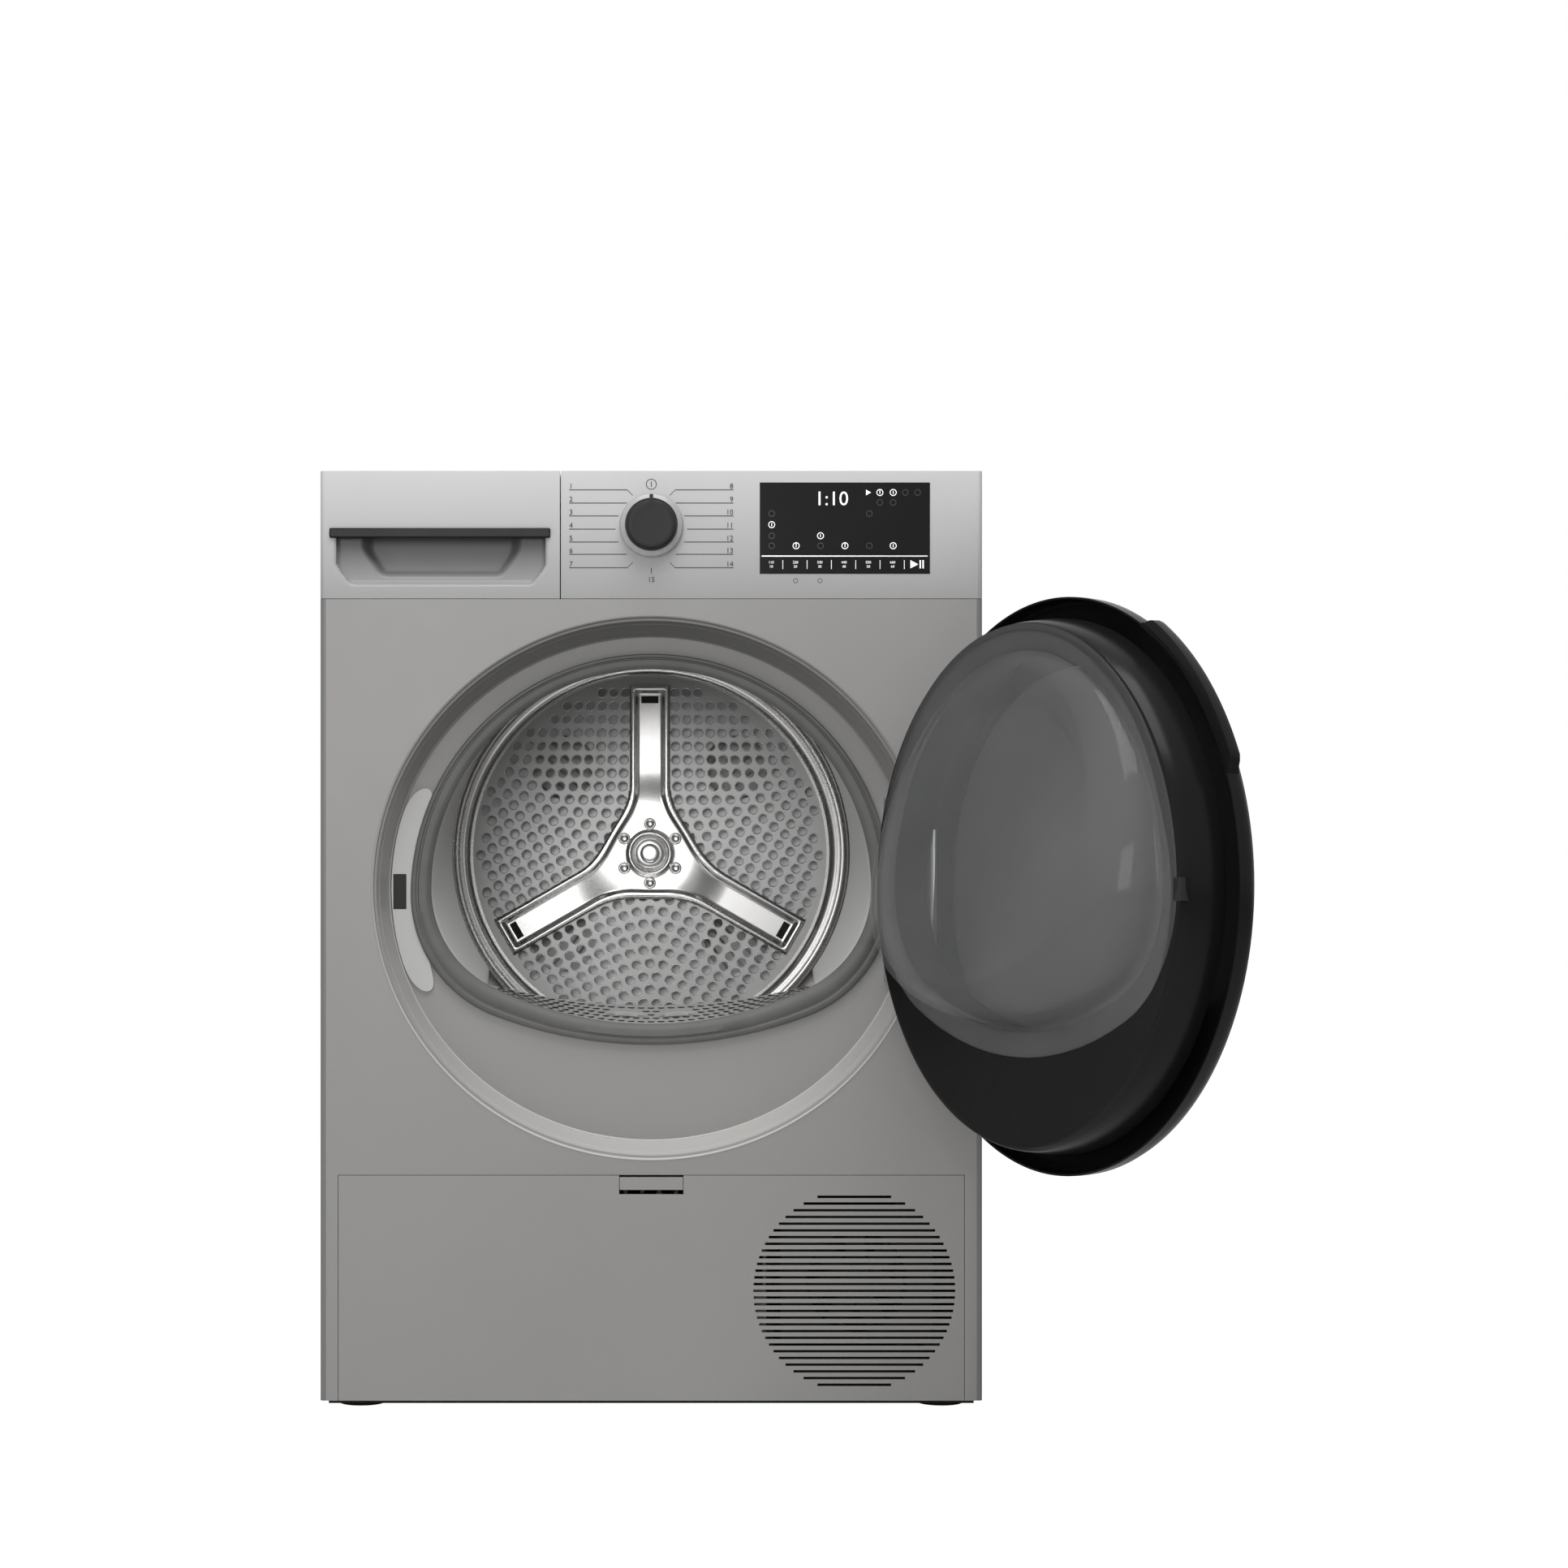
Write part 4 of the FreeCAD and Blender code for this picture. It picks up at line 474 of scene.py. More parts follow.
def ring_tube(name, path, radius, slot, body, finish=None, sides=8):
    """A closed bead along a closed path of points."""
    rings = []
    for n, here in enumerate(path):
        ahead = path[(n + 1) % len(path)] - path[n - 1]
        ahead.normalize()
        out = Vector((0, 1, 0)).cross(ahead)
        turns = [TAU * k / sides for k in range(sides)]
        rings.append([here + radius * (out * math.cos(t) + Vector((0, 1, 0)) * math.sin(t)) for t in turns])
    return skin_rings(name, rings, slot, body, finish)


def turned(name, profile, base, z, slot, body, finish=None, count=36, x=0.0, smooth=30.0, cyclic=False):
    """A round piece from radii and heights in front of its base, in millimetres."""
    rings = [oval_ring(r * MM, r * MM, base - h * MM, z, count, x) for r, h in profile]
    return skin_rings(name, rings, slot, body, finish, cyclic=cyclic, smooth=smooth)


def washer(name, x, z, outer, inner, y0, y1, count, slot, finish):
    """A thin flat ring on the fascia, with its radii in millimetres."""
    profile = ((outer, y1), (outer, y0), (inner, y0), (inner, y1))
    rings = [oval_ring(r * MM, r * MM, y, z, count, x) for r, y in profile]
    return skin_rings(name, rings, slot, "cabinet", finish)


def slab(name, outline, y0, y1, slot, body, finish=None, smooth=30.0):
    """A flat piece between two depths from an outline of (x, z) corners."""
    front = [Vector((x, y0, z)) for x, z in outline]
    rear = [Vector((x, y1, z)) for x, z in outline]
    return skin_rings(name, [front, rear], slot, body, finish, cyclic=False, smooth=smooth)


def joined(name, pieces):
    """One piece out of several of the same finish and body."""
    work = bmesh.new()
    for piece in pieces:
        work.from_mesh(piece.data)
    mesh = pieces[0].data
    work.to_mesh(mesh)
    work.free()
    for spare in pieces[1:]:
        bpy.data.objects.remove(spare)
    pieces[0].name = name
    return pieces[0]


def bar(x0, x1, z0, z1):
    """The outline of a rectangle."""
    return [(x0, z0), (x1, z0), (x1, z1), (x0, z1)]


def words(name, text, x, z, height, y, slot, body, finish, align="CENTER", depth=0.0002):
    """Plain printed digits as a thin raised mesh."""
    curve = bpy.data.curves.new(name, "FONT")
    curve.body = text
    curve.size = height * 1.38
    curve.align_x = align
    curve.extrude = depth
    curve.resolution_u = 3
    holder = bpy.data.objects.new(name, curve)
    bpy.context.scene.collection.objects.link(holder)
    mesh = evaluated(holder)
    bpy.data.objects.remove(holder)
    mesh.transform(Matrix.Translation((x, y, z)) @ UPRIGHT)
    return add_mesh(name, mesh, slot, body, finish)


# Geometry Nodes


class NodeTree:
    """A Geometry Nodes tree under construction, with named inputs."""

    def __init__(self, name, inputs):
        self.tree = bpy.data.node_groups.new(name, "GeometryNodeTree")
        self.tree.interface.new_socket("Geometry", in_out="INPUT", socket_type="NodeSocketGeometry")
        self.ids = {}
        for label, kind in inputs:
            made = self.tree.interface.new_socket(label, in_out="INPUT", socket_type=kind)
            self.ids[label] = made.identifier
        self.tree.interface.new_socket("Geometry", in_out="OUTPUT", socket_type="NodeSocketGeometry")
        self.entry = self.tree.nodes.new("NodeGroupInput")
        self.exit = self.tree.nodes.new("NodeGroupOutput")

    def node(self, kind, settings=None, **values):
        made = self.tree.nodes.new(kind)
        for key, value in (settings or {}).items():
            setattr(made, key, value)
        for key, value in values.items():
            target = made.inputs[key.replace("_", " ")]
            for source in value if isinstance(value, list) else [value]:
                if isinstance(source, bpy.types.NodeSocket):
                    self.tree.links.new(source, target)
                else:
                    target.default_value = source
        return made

    def finish(self, geometry):
        """Ends the tree in Realize Instances and Set Material."""
        solid = self.node("GeometryNodeRealizeInstances", None, Geometry=geometry)
        dressed = self.node("GeometryNodeSetMaterial", None, Geometry=solid.outputs[0],
                            Material=self.entry.outputs["Material"])
        self.tree.links.new(dressed.outputs[0], self.exit.inputs[0])


def run_tree(name, points, tree, values):
    """The plain mesh that a tree makes from points."""
    mesh = bpy.data.meshes.new(name)
    mesh.from_pydata([tuple(p) for p in points], [], [])
    holder = bpy.data.objects.new(name, mesh)
    bpy.context.scene.collection.objects.link(holder)
    modifier = holder.modifiers.new(name, "NODES")
    modifier.node_group = tree.tree
    for label, value in values.items():
        modifier[tree.ids[label]] = value
    made = evaluated(holder)
    holder.modifiers.remove(modifier)
    bpy.data.objects.remove(holder)
    return made


def perforated_tree():
    """A round sheet with a hole at every point, and a thickness."""
    made = NodeTree("perforated_sheet", [("Hole Radius", "NodeSocketFloat"),
                                         ("Sheet Radius", "NodeSocketFloat"),
                                         ("Thickness", "NodeSocketFloat"),
                                         ("Material", "NodeSocketMaterial")])
    entry = made.entry.outputs
    hole = made.node("GeometryNodeCurvePrimitiveCircle", None, Resolution=14, Radius=entry["Hole Radius"])
    holes = made.node("GeometryNodeInstanceOnPoints", None, Points=entry["Geometry"],
                      Instance=hole.outputs[0])
    edge = made.node("GeometryNodeCurvePrimitiveCircle", None, Resolution=120, Radius=entry["Sheet Radius"])
    loose = made.node("GeometryNodeRealizeInstances", None, Geometry=holes.outputs[0])
    outlines = made.node("GeometryNodeJoinGeometry", None, Geometry=[loose.outputs[0], edge.outputs[0]])
    sheet = made.node("GeometryNodeFillCurve", None, Curve=outlines.outputs[0])
    wall = made.node("GeometryNodeExtrudeMesh", None, Mesh=sheet.outputs[0], Offset_Scale=entry["Thickness"],
                     Individual=False)
    both = made.node("GeometryNodeJoinGeometry", None, Geometry=[wall.outputs[0], sheet.outputs[0]])
    made.finish(both.outputs[0])
    return made


# Pieces


class DRYER_OT_cabinet(bpy.types.Operator):
    """Paints the cabinet and every plain inner piece, and smooths the curved ones"""

    bl_idname = "dryer.cabinet"
    bl_label = "Cabinet"

    def execute(self, context):
        for entry in frame["record"]["subparts"]:
            shown = frame["nodes"][entry["node"]]
            for place in shown.material_slots:
                place.material = FINISHES[entry["material_slot"]]
        for node in ("hinge_bracket", "hinge_arm", "control_fascia", "top_panel",
                     "side_panel_left", "side_panel_right", "drum_shell", "front_bulkhead", "drum_felt",
                     "levelling_feet", "cord_gland", "drain_spigot", "lint_filter", "kick_plate",
                     "kick_latch", "base_tray", "door_hook", "compressor", "rear_air_duct"):
            polish(node)
        return {"FINISHED"}


class DRYER_OT_recess(bpy.types.Operator):
    """Presses the front panel: its flat face, the stepped oval recess and the fine beads round it"""

    bl_idname = "dryer.recess"
    bl_label = "Front panel and recess"

    def ovals(self, table, count):
        """Ovals round the door's centre from depths and half widths and heights in millimetres."""
        return [oval_ring(a * MM, b * MM, FRONT_Y + y * MM, DOOR_Z, count) for y, a, b in table]

    def face(self):
        """The flat face between the panel's outline and the recess, in bands of matching points."""
        x0, (x1, _, z1) = PANEL[0][0], PANEL[1]
        kick_x, kick_z = KICK[1][0] + 0.5 * MM, KICK[1][2] + 0.5 * MM
        steps = [(0.0, 251.0, 244.0), (0.4, 250.6, 243.6), (2.5, 249.9, 242.9), (3.0, 248.4, 241.4),
                 (9.0, 247.4, 240.2), (9.6, 246.0, 238.9), (30.5, 239.6, 231.2), (33.0, 238.4, 229.9),
                 (34.0, 236.5, 228.0)]
        oval = self.ovals(steps, 240)
        outer = [self.edge(p, x0, x1, kick_z, z1) for p in oval[0]]
        seat = mouth_ring(17.5 * MM, RECESS_FLOOR, 5 * MM, 40)
        return [outer] + oval, seat, (kick_x, kick_z)

    def edge(self, p, x0, x1, z0, z1):
        """Where a ray from the recess centre through a point leaves the panel's upper outline."""
        dx, dz = p.x, p.z - DOOR_Z
        reach = []
        if abs(dx) > 1e-9:
            reach.append((x1 if dx > 0 else x0) / dx)
        if abs(dz) > 1e-9:
            reach.append(((z1 if dz > 0 else z0) - DOOR_Z) / dz)
        scale = min(reach)
        return Vector((dx * scale, FRONT_Y, DOOR_Z + dz * scale))

    def panel(self):
        """Builds the sheet, its recess floor down to the seal and the two strips beside the kick plate."""
        rings, seat, (kick_x, kick_z) = self.face()
        (x0, _, z0), (x1, _, z1) = PANEL
        corners = [Vector((x, FRONT_Y, z)) for x in (x0, x1) for z in (kick_z, z1)]
        count = len(rings[0])
        for corner in corners:
            near = min(range(count), key=lambda n: (rings[0][n] - corner).length)
            rings[0][near] = corner
        verts = [v for ring in rings for v in ring]
        faces = grid_faces(len(rings), count, True)
        last = (len(rings) - 1) * count
        base = len(verts)
        verts += seat
        faces += self.bridge(verts, last, count, base, len(seat))
        for side in (-1, 1):
            a, b = sorted((side * kick_x, x1 if side > 0 else x0))
            start = len(verts)
            verts += [(a, FRONT_Y, z0), (b, FRONT_Y, z0), (b, FRONT_Y, kick_z), (a, FRONT_Y, kick_z)]
            faces.append((start, start + 1, start + 2, start + 3))
        return verts, faces

    def bridge(self, verts, first, n_first, second, n_second):
        """Triangles between two closed rings, walked by their angle round the recess centre."""
        def turn(v):
            return math.atan2(v[2] - DOOR_Z, v[0]) % TAU
        one = sorted(range(first, first + n_first), key=lambda n: turn(verts[n]))
        two = sorted(range(second, second + n_second), key=lambda n: turn(verts[n]))
        faces = []
        i = j = 0
        while i < len(one) or j < len(two):
            a, b = one[i % len(one)], two[j % len(two)]
            next_a = turn(verts[one[(i + 1) % len(one)]]) + (TAU if i + 1 >= len(one) else 0)
            next_b = turn(verts[two[(j + 1) % len(two)]]) + (TAU if j + 1 >= len(two) else 0)
            if i < len(one) and (j >= len(two) or next_a <= next_b):
                faces.append((a, one[(i + 1) % len(one)], b))
                i += 1
            else:
                faces.append((a, two[(j + 1) % len(two)], b))
                j += 1
        return faces

    def execute(self, context):
        verts, faces = self.panel()
        sheet = add_piece("front_panel_sheet", verts, faces, "body_paint", "cabinet", smooth=28)
        thick = sheet.modifiers.new("sheet", "SOLIDIFY")
        thick.thickness = 0.9 * MM
        thick.offset = -1
        solid = evaluated(sheet)
        sheet.modifiers.remove(thick)
        sheet.data = solid
        level(sheet)
        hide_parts("front_panel")
        bead = context.scene.dryer_sizes.bead_r
        rims = (("recess_bead_outer", 251.5, 244.5, FRONT_Y + 0.2 * MM),
                ("recess_bead_step", 247.5, 240.2, FRONT_Y + 9 * MM),
                ("recess_bead_floor", 238.6, 230.1, RECESS_FLOOR - 2 * MM))
        # The beads take painted light and shade: lighter at the recess's foot, darker at its top.
        for name, a, b, y in rims:
            ring_tube(name, oval_ring(a * MM, b * MM, y, DOOR_Z, 180), bead, "body_paint", "cabinet",
                      "recess_rim")
        wall = ((3.2, 248.0, 241.0), (9.0, 247.0, 239.8), (9.6, 245.6, 238.5), (20.0, 242.3, 234.8),
                (30.5, 239.2, 230.8), (33.0, 238.0, 229.5), (33.2, 238.3, 229.8), (9.6, 245.9, 238.8),
                (3.1, 248.3, 241.3))
        # The recess wall takes painted light and shade: lighter at its foot, darker at its top.
        skin_rings("recess_wall", self.ovals(wall, 180), "body_paint", "cabinet", "recess_wall", smooth=40)
        return {"FINISHED"}


class DRYER_OT_lock_plate(bpy.types.Operator):
    """Moulds the crescent plate round the lock slot, with rounded ends"""

    bl_idname = "dryer.lock_plate"
    bl_label = "Lock plate"

    def execute(self, context):
        low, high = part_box("lock_plate")
        front, rear = low[1], high[1]
        mid, half = (low[2] + high[2]) / 2, (high[2] - low[2]) / 2 - 1 * MM
        oval_w, oval_h, half_w = 224 * MM, 229 * MM, 12.5 * MM
        outline = []
        count = 48
        for side in (1, -1):
            for n in range(count):
                turn = math.pi * (n + 0.5) / count
                t = math.cos(turn) * side
                z = mid + half * t
                reach = oval_w * math.sqrt(1 - ((z - DOOR_Z) / oval_h) ** 2)
                width = half_w * (1 - abs(t) ** 9) ** 0.5
                outline.append((-reach - width if side > 0 else -reach + width, z))
        slab_piece = slab("lock_plate_face", outline, front, rear, "grey_plastic", "cabinet", "funnel")
        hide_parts("lock_plate")
        # A near-black slab over the lock slot: painted shade for the slot's depth.
        slot = bar(-235 * MM, -223 * MM, 451 * MM, 483 * MM)
        mouth = slab("lock_slot_shade", slot, front - 0.15 * MM, rear, "dark_plastic", "cabinet", "pit")
        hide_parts("lock_plate")
        return {"FINISHED"}


class DRYER_OT_seal(bpy.types.Operator):
    """Moulds the door seal with its lip and grooves, and the funnel behind it"""

    bl_idname = "dryer.seal"
    bl_label = "Door seal"

    def execute(self, context):
        seat = SEAL[1][1]
        rise = [(18.5, 0.0), (18.5, 4.2), (17.2, 5.8), (14.6, 6.0), (13.4, 4.4), (12.2, 4.4), (11.0, 5.9),
                (6.0, 5.9), (3.4, 5.2), (2.2, 3.4), (0.6, 2.8), (0.0, 1.2), (0.0, 0.0)]
        width = rise[0][0]
        rings = [mouth_ring(grow * MM, seat - up * MM, 5 * MM * (grow / width)) for grow, up in rise]
        piece = skin_rings("door_seal_lip", rings, "seal_rubber", "cabinet", smooth=50)
        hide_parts("door_seal")
        polish("loading_funnel", finish="funnel", angle=40)
        return {"FINISHED"}


class DRYER_OT_drum_back(bpy.types.Operator):
    """Presses the drum's back: a perforated sheet inside two raised rings"""

    bl_idname = "dryer.drum_back"
    bl_label = "Drum back"

    def execute(self, context):
        sizes = context.scene.dryer_sizes
        sheet_t = 1.2 * MM
        points = self.rows(sizes)
        mesh = run_tree("drum_back_holes", points, perforated_tree(), {
            "Hole Radius": sizes.hole_r, "Sheet Radius": sizes.sheet_r, "Thickness": sheet_t,
            "Material": FINISHES["sheet_steel"]})
        mesh.transform(Matrix.Translation((0, BACK_FACE + sheet_t, DRUM_Z)) @ UPRIGHT)
        sheet = add_mesh("drum_back_sheet", mesh, "drum_steel", "drum", "sheet_steel")
        profile = [(sizes.sheet_r, 0.0), (189 * MM, 0.0), (191.5 * MM, -5 * MM), (196 * MM, -6 * MM),
                   (199 * MM, -1 * MM), (202 * MM, 0.5 * MM), (205 * MM, -4 * MM), (208.5 * MM, -5.5 * MM),
                   (212 * MM, -2 * MM), (226 * MM, 0.5 * MM), (288 * MM, 0.5 * MM), (288 * MM, 2 * MM),
                   (sizes.sheet_r, 2 * MM)]
        rings = [oval_ring(r, r, BACK_FACE + y, DRUM_Z, 180) for r, y in profile]
        beads = skin_rings("drum_back_rings", rings, "drum_steel", "drum", smooth=60)
        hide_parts("drum_back")
        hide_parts("drum_back")
        self.dimples(points, sizes)
        return {"FINISHED"}

    def rows(self, sizes):
        """Hole centres: in each third, curved rows that run out along its two arms."""
        points = []
        pitch = sizes.hole_pitch
        bend, slope = 30 * MM, 1 / math.tan(math.radians(60))
        for third in range(3):
            middle = math.radians(30 + 120 * third)
            out = Vector((math.cos(middle), math.sin(middle)))
            side = Vector((-math.sin(middle), math.cos(middle)))
            for row in range(14):
                base = (28 + 14 * row) * MM
                for way in (-1, 1):
                    w = 0.0 if row % 2 else pitch / 2
                    while w < sizes.sheet_r:
                        spot = out * (base + slope * math.hypot(bend, w)) + side * way * w
                        if spot.length < sizes.sheet_r - 6 * MM and (w or way > 0):
                            points.append((spot.x, spot.y, 0))
                        w += pitch / math.hypot(1, slope * w / math.hypot(bend, w))
        return points

    def dimples(self, points, sizes):
        """A raised collar round every hole."""
        made = NodeTree("hole_collars", [("Radius", "NodeSocketFloat"), ("Rim", "NodeSocketFloat"),
                                         ("Material", "NodeSocketMaterial")])
        entry = made.entry.outputs
        circle = made.node("GeometryNodeCurvePrimitiveCircle", None, Resolution=14, Radius=entry["Radius"])
        section = made.node("GeometryNodeCurvePrimitiveCircle", None, Resolution=5, Radius=entry["Rim"])
        ring = made.node("GeometryNodeCurveToMesh", None, Curve=circle.outputs[0],
                         Profile_Curve=section.outputs[0])
        rings = made.node("GeometryNodeInstanceOnPoints", None, Points=entry["Geometry"],
                          Instance=ring.outputs[0])
        made.finish(rings.outputs[0])
        mesh = run_tree("drum_hole_rims", points, made, {
            "Radius": sizes.hole_r + 0.4 * MM, "Rim": 0.5 * MM, "Material": FINISHES["drum_steel"]})
        mesh.transform(Matrix.Translation((0, BACK_FACE, DRUM_Z)) @ UPRIGHT)
        add_mesh("drum_hole_rims", mesh, "drum_steel", "drum", smooth=80)


class DRYER_OT_star(bpy.types.Operator):
    """Stamps the three-armed star with its channels, hub, cup, rivets and nut"""

    bl_idname = "dryer.star"
    bl_label = "Drum star"

    def inside(self, x, z):
        """Distance inward from the star's outline: three arms blended into a round hub."""
        hub_r, arm_w, arm_l, blend = 43 * MM, 22 * MM, 178 * MM, 34 * MM
        best = hub_r - math.hypot(x, z)
        for n in range(3):
            turn = math.radians(90 + 120 * n)
            along = x * math.cos(turn) + z * math.sin(turn)
            across = abs(-x * math.sin(turn) + z * math.cos(turn))
            arm = min(arm_w - across, arm_l - along, along + arm_w)
            share = min(1.0, max(0.0, 0.5 + 0.5 * (arm - best) / blend))
            best += share * (arm - best) + blend * share * (1 - share)
        return best

    def height(self, x, z):
        """Stamped height above the drum's back: a raised rim along the outline and a low floor."""
        depth = self.inside(x, z)
        if depth < 0:
            return -1.0
        r = math.hypot(x, z)
        rim_h = 9 * MM
        rise = rim_h * step(-1 * MM, 3 * MM, depth)
        fall = step(6 * MM, 10 * MM, depth)
        groove = 0.5 * MM * step(3.4 * MM, 4.2 * MM, depth) * (1 - step(4.8 * MM, 5.6 * MM, depth))
        floor = 6.5 * MM - 4.5 * MM * step(45 * MM, 90 * MM, r)
        rise += fall * (floor - rim_h) - groove
        rise -= 4 * MM * (1 - step(17 * MM, 20 * MM, r))
        return rise + 2.2 * MM * step(17.5 * MM, 20 * MM, r) * (1 - step(22 * MM, 25 * MM, r))

    def execute(self, context):
        cell = 1.5 * MM
        count = int(182 * MM / cell)
        heights = {}
        for i in range(-count, count + 1):
            for j in range(-count, count + 1):
                rise = self.height(i * cell, j * cell)
                if rise > -0.5:
                    heights[i, j] = rise
        index = {key: n for n, key in enumerate(heights)}
        verts = [(i * cell, BACK_FACE - h, DRUM_Z + j * cell) for (i, j), h in heights.items()]
        under = len(verts)
        verts += [(i * cell, BACK_FACE + 0.3 * MM, DRUM_Z + j * cell) for i, j in heights]
        faces = []
        edges = {}
        for i, j in heights:
            ring = [(i, j), (i + 1, j), (i + 1, j + 1), (i, j + 1)]
            if all(corner in index for corner in ring):
                top = tuple(index[corner] for corner in ring)
                faces.append(top)
                faces.append(tuple(under + n for n in reversed(top)))
                for a, b in zip(top, top[1:] + top[:1]):
                    edges[a, b] = edges.get((a, b), 0) + 1
        faces += [(a, under + a, under + b, b) for a, b in edges if (b, a) not in edges]
        star = add_piece("drum_star_stamping", verts, faces, "drum_steel", "drum", smooth=180)
        loose = bmesh.new()
        loose.from_mesh(star.data)
        bmesh.ops.delete(loose, geom=[v for v in loose.verts if not v.link_faces], context="VERTS")
        loose.to_mesh(star.data)
        loose.free()
        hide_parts("drum_star")
        self.hub()
        return {"FINISHED"}

    def hub(self):
        """The rivets round the hub, and the nut on the shaft."""
        pieces = []
        for n in range(6):
            turn = math.radians(30 + 60 * n)
            x, z = 31 * MM * math.cos(turn), DRUM_Z + 31 * MM * math.sin(turn)
            rise = [(6.3, 6.2), (6.3, 7.3), (5.4, 8.1), (4.4, 8.1), (3.8, 7.4), (0.6, 7.3)]
            pieces.append(turned(f"rivet_{n}", rise, BACK_FACE, z, "drum_steel", "drum", count=20, x=x,
                                 smooth=50))
        joined("star_rivets", pieces)
        rise = [(15.5, 1.5), (15.5, 4.5), (13.5, 5.6), (10.2, 5.6), (10.2, 12.5), (9.0, 13.8), (6.0, 14.0),
                (0.5, 14.0)]
        nut = turned("shaft_nut", rise, BACK_FACE, DRUM_Z, "zinc_steel", "drum", "silver", smooth=45)
        tail = [(12.5, -1.0), (12.5, -51.0)]
        shaft = turned("shaft_tail", tail, BACK_FACE, DRUM_Z, "zinc_steel", "drum", smooth=45)
        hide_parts("drum_shaft")
        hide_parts("drum_shaft")
        # Near-black patches in the star's arms: painted shade for their slots.
        slots = []
        for n in range(3):
            turn = math.radians(90 + 120 * n)
            mid = Vector((math.cos(turn), 0, math.sin(turn)))
            side = Vector((-math.sin(turn), 0, math.cos(turn)))
            corners = [(-9, 158), (9, 158), (9, 165.5), (-9, 165.5)]
            outline = [(Vector((0, 0, DRUM_Z)) + side * a * MM + mid * b * MM) for a, b in corners]
            rings = [[Vector((p.x, BACK_FACE - h * MM, p.z)) for p in outline] for h in (2.3, 1.0)]
            slots.append(skin_rings(f"arm_slot_{n}", rings, "dark_plastic", "drum", finish="pit",
                                    cyclic=False))
        joined("arm_slot_shades", slots)


class DRYER_OT_knob(bpy.types.Operator):
    """Turns the knob: a silver skirt and a black face with a pointer"""

    bl_idname = "dryer.knob"
    bl_label = "Programme knob"

    def execute(self, context):
        x, z = (KNOB[0][0] + KNOB[1][0]) / 2, (KNOB[0][2] + KNOB[1][2]) / 2
        base = FRONT_Y - 0.3 * MM
        skirt = [(9, -12), (9, 0), (28.5, 0), (28.5, 5.5), (27.6, 7.6), (25.6, 8.8), (23.6, 9.6),
                 (23.0, 12.5), (22.2, 12.8), (21.6, 12.0), (0.4, 12.0)]
        face = [(21.5, 11.0), (21.5, 15.2), (21.0, 16.4), (19.8, 16.9), (17.0, 16.7), (8.0, 16.4),
                (0.3, 16.4)]
        for name, rise, finish in (("knob_skirt", skirt, "silver_paint"),
                                   ("knob_face", face, "dark_plastic")):
            piece = turned(name, rise, base, z, "dark_plastic", "knob", finish, 96, x, 35)
            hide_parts("knob")
        # A near-black ring between the skirt and the face: painted shade in the gap.
        gap = [(23.6, 9.5), (23.6, 12.9), (21.4, 12.9), (21.4, 9.5)]
        turned("knob_gap_shade", gap, base, z, "dark_plastic", "knob", "pit", 96, x, cyclic=True)
        mark = bar(x - 1.6 * MM, x + 1.6 * MM, z + 17 * MM, z + 26.5 * MM)
        slab("knob_pointer", mark, base - 17 * MM, base - 8.0 * MM, "dark_plastic", "knob", "pit")
        return {"FINISHED"}


class DRYER_OT_prints(bpy.types.Operator):
    """Prints the leader lines, plain numbers and the power mark on the fascia"""

    bl_idname = "dryer.prints"
    bl_label = "Fascia prints"

    def execute(self, context):
        sizes = context.scene.dryer_sizes
        place = ("black_plastic", "cabinet", "ink")
        skin = (PRINT_FRONT, PRINT_REAR, *place)
        heights = (828.9, 817.0, 805.4, 793.5, 781.9, 770.8, 758.7)
        inner = (16.6, 22.1, 29.5, 32.2, 29.5, 22.1, 16.6)
        half = sizes.line_w / 2
        lines, marks = [], []
        for side in (-1, 1):
            for n, (z, x) in enumerate(zip(heights, inner)):
                lean = 5.0 if n == 0 else -5.0 if n == 6 else 0.0
                start, stop = side * 74 * MM, side * (x + abs(lean)) * MM
                outline = bar(min(start, stop), max(start, stop), z * MM - half, z * MM + half)
                lines.append(slab(f"line_{side}_{n}", outline, *skin))
                if lean:
                    tip = (side * x * MM, (z - lean) * MM)
                    edge = (stop, z * MM)
                    outline = [(edge[0], edge[1] - half), (edge[0], edge[1] + half), (tip[0], tip[1] + half),
                               (tip[0], tip[1] - half)]
                    lines.append(slab(f"slant_{side}_{n}", outline, *skin))
                number = str(n + 1 if side < 0 else n + 8)
                marks.append(words(f"number_{side}_{n}", number, side * 74 * MM, (z + 1.2) * MM,
                                   sizes.print_h,
                                   PRINT_FRONT, *place, "LEFT" if side < 0 else "RIGHT"))
        tick = bar(-half, half, 753.5 * MM, 758.5 * MM)
        lines.append(slab("tick", tick, *skin))
        joined("fascia_lines", lines)
        marks.append(words("number_low", "15", 0, 745.8 * MM, sizes.print_h, PRINT_FRONT, *place))
        joined("fascia_numbers", marks)
        power = [washer("power_ring", 0.0, 834 * MM, 4.9, 4.2, PRINT_FRONT, PRINT_REAR, 40, "black_plastic",
                        "ink")]
        power.append(slab("power_bar", bar(-half, half, 831.6 * MM, 836.4 * MM), *skin))
        joined("power_mark", power)
        return {"FINISHED"}


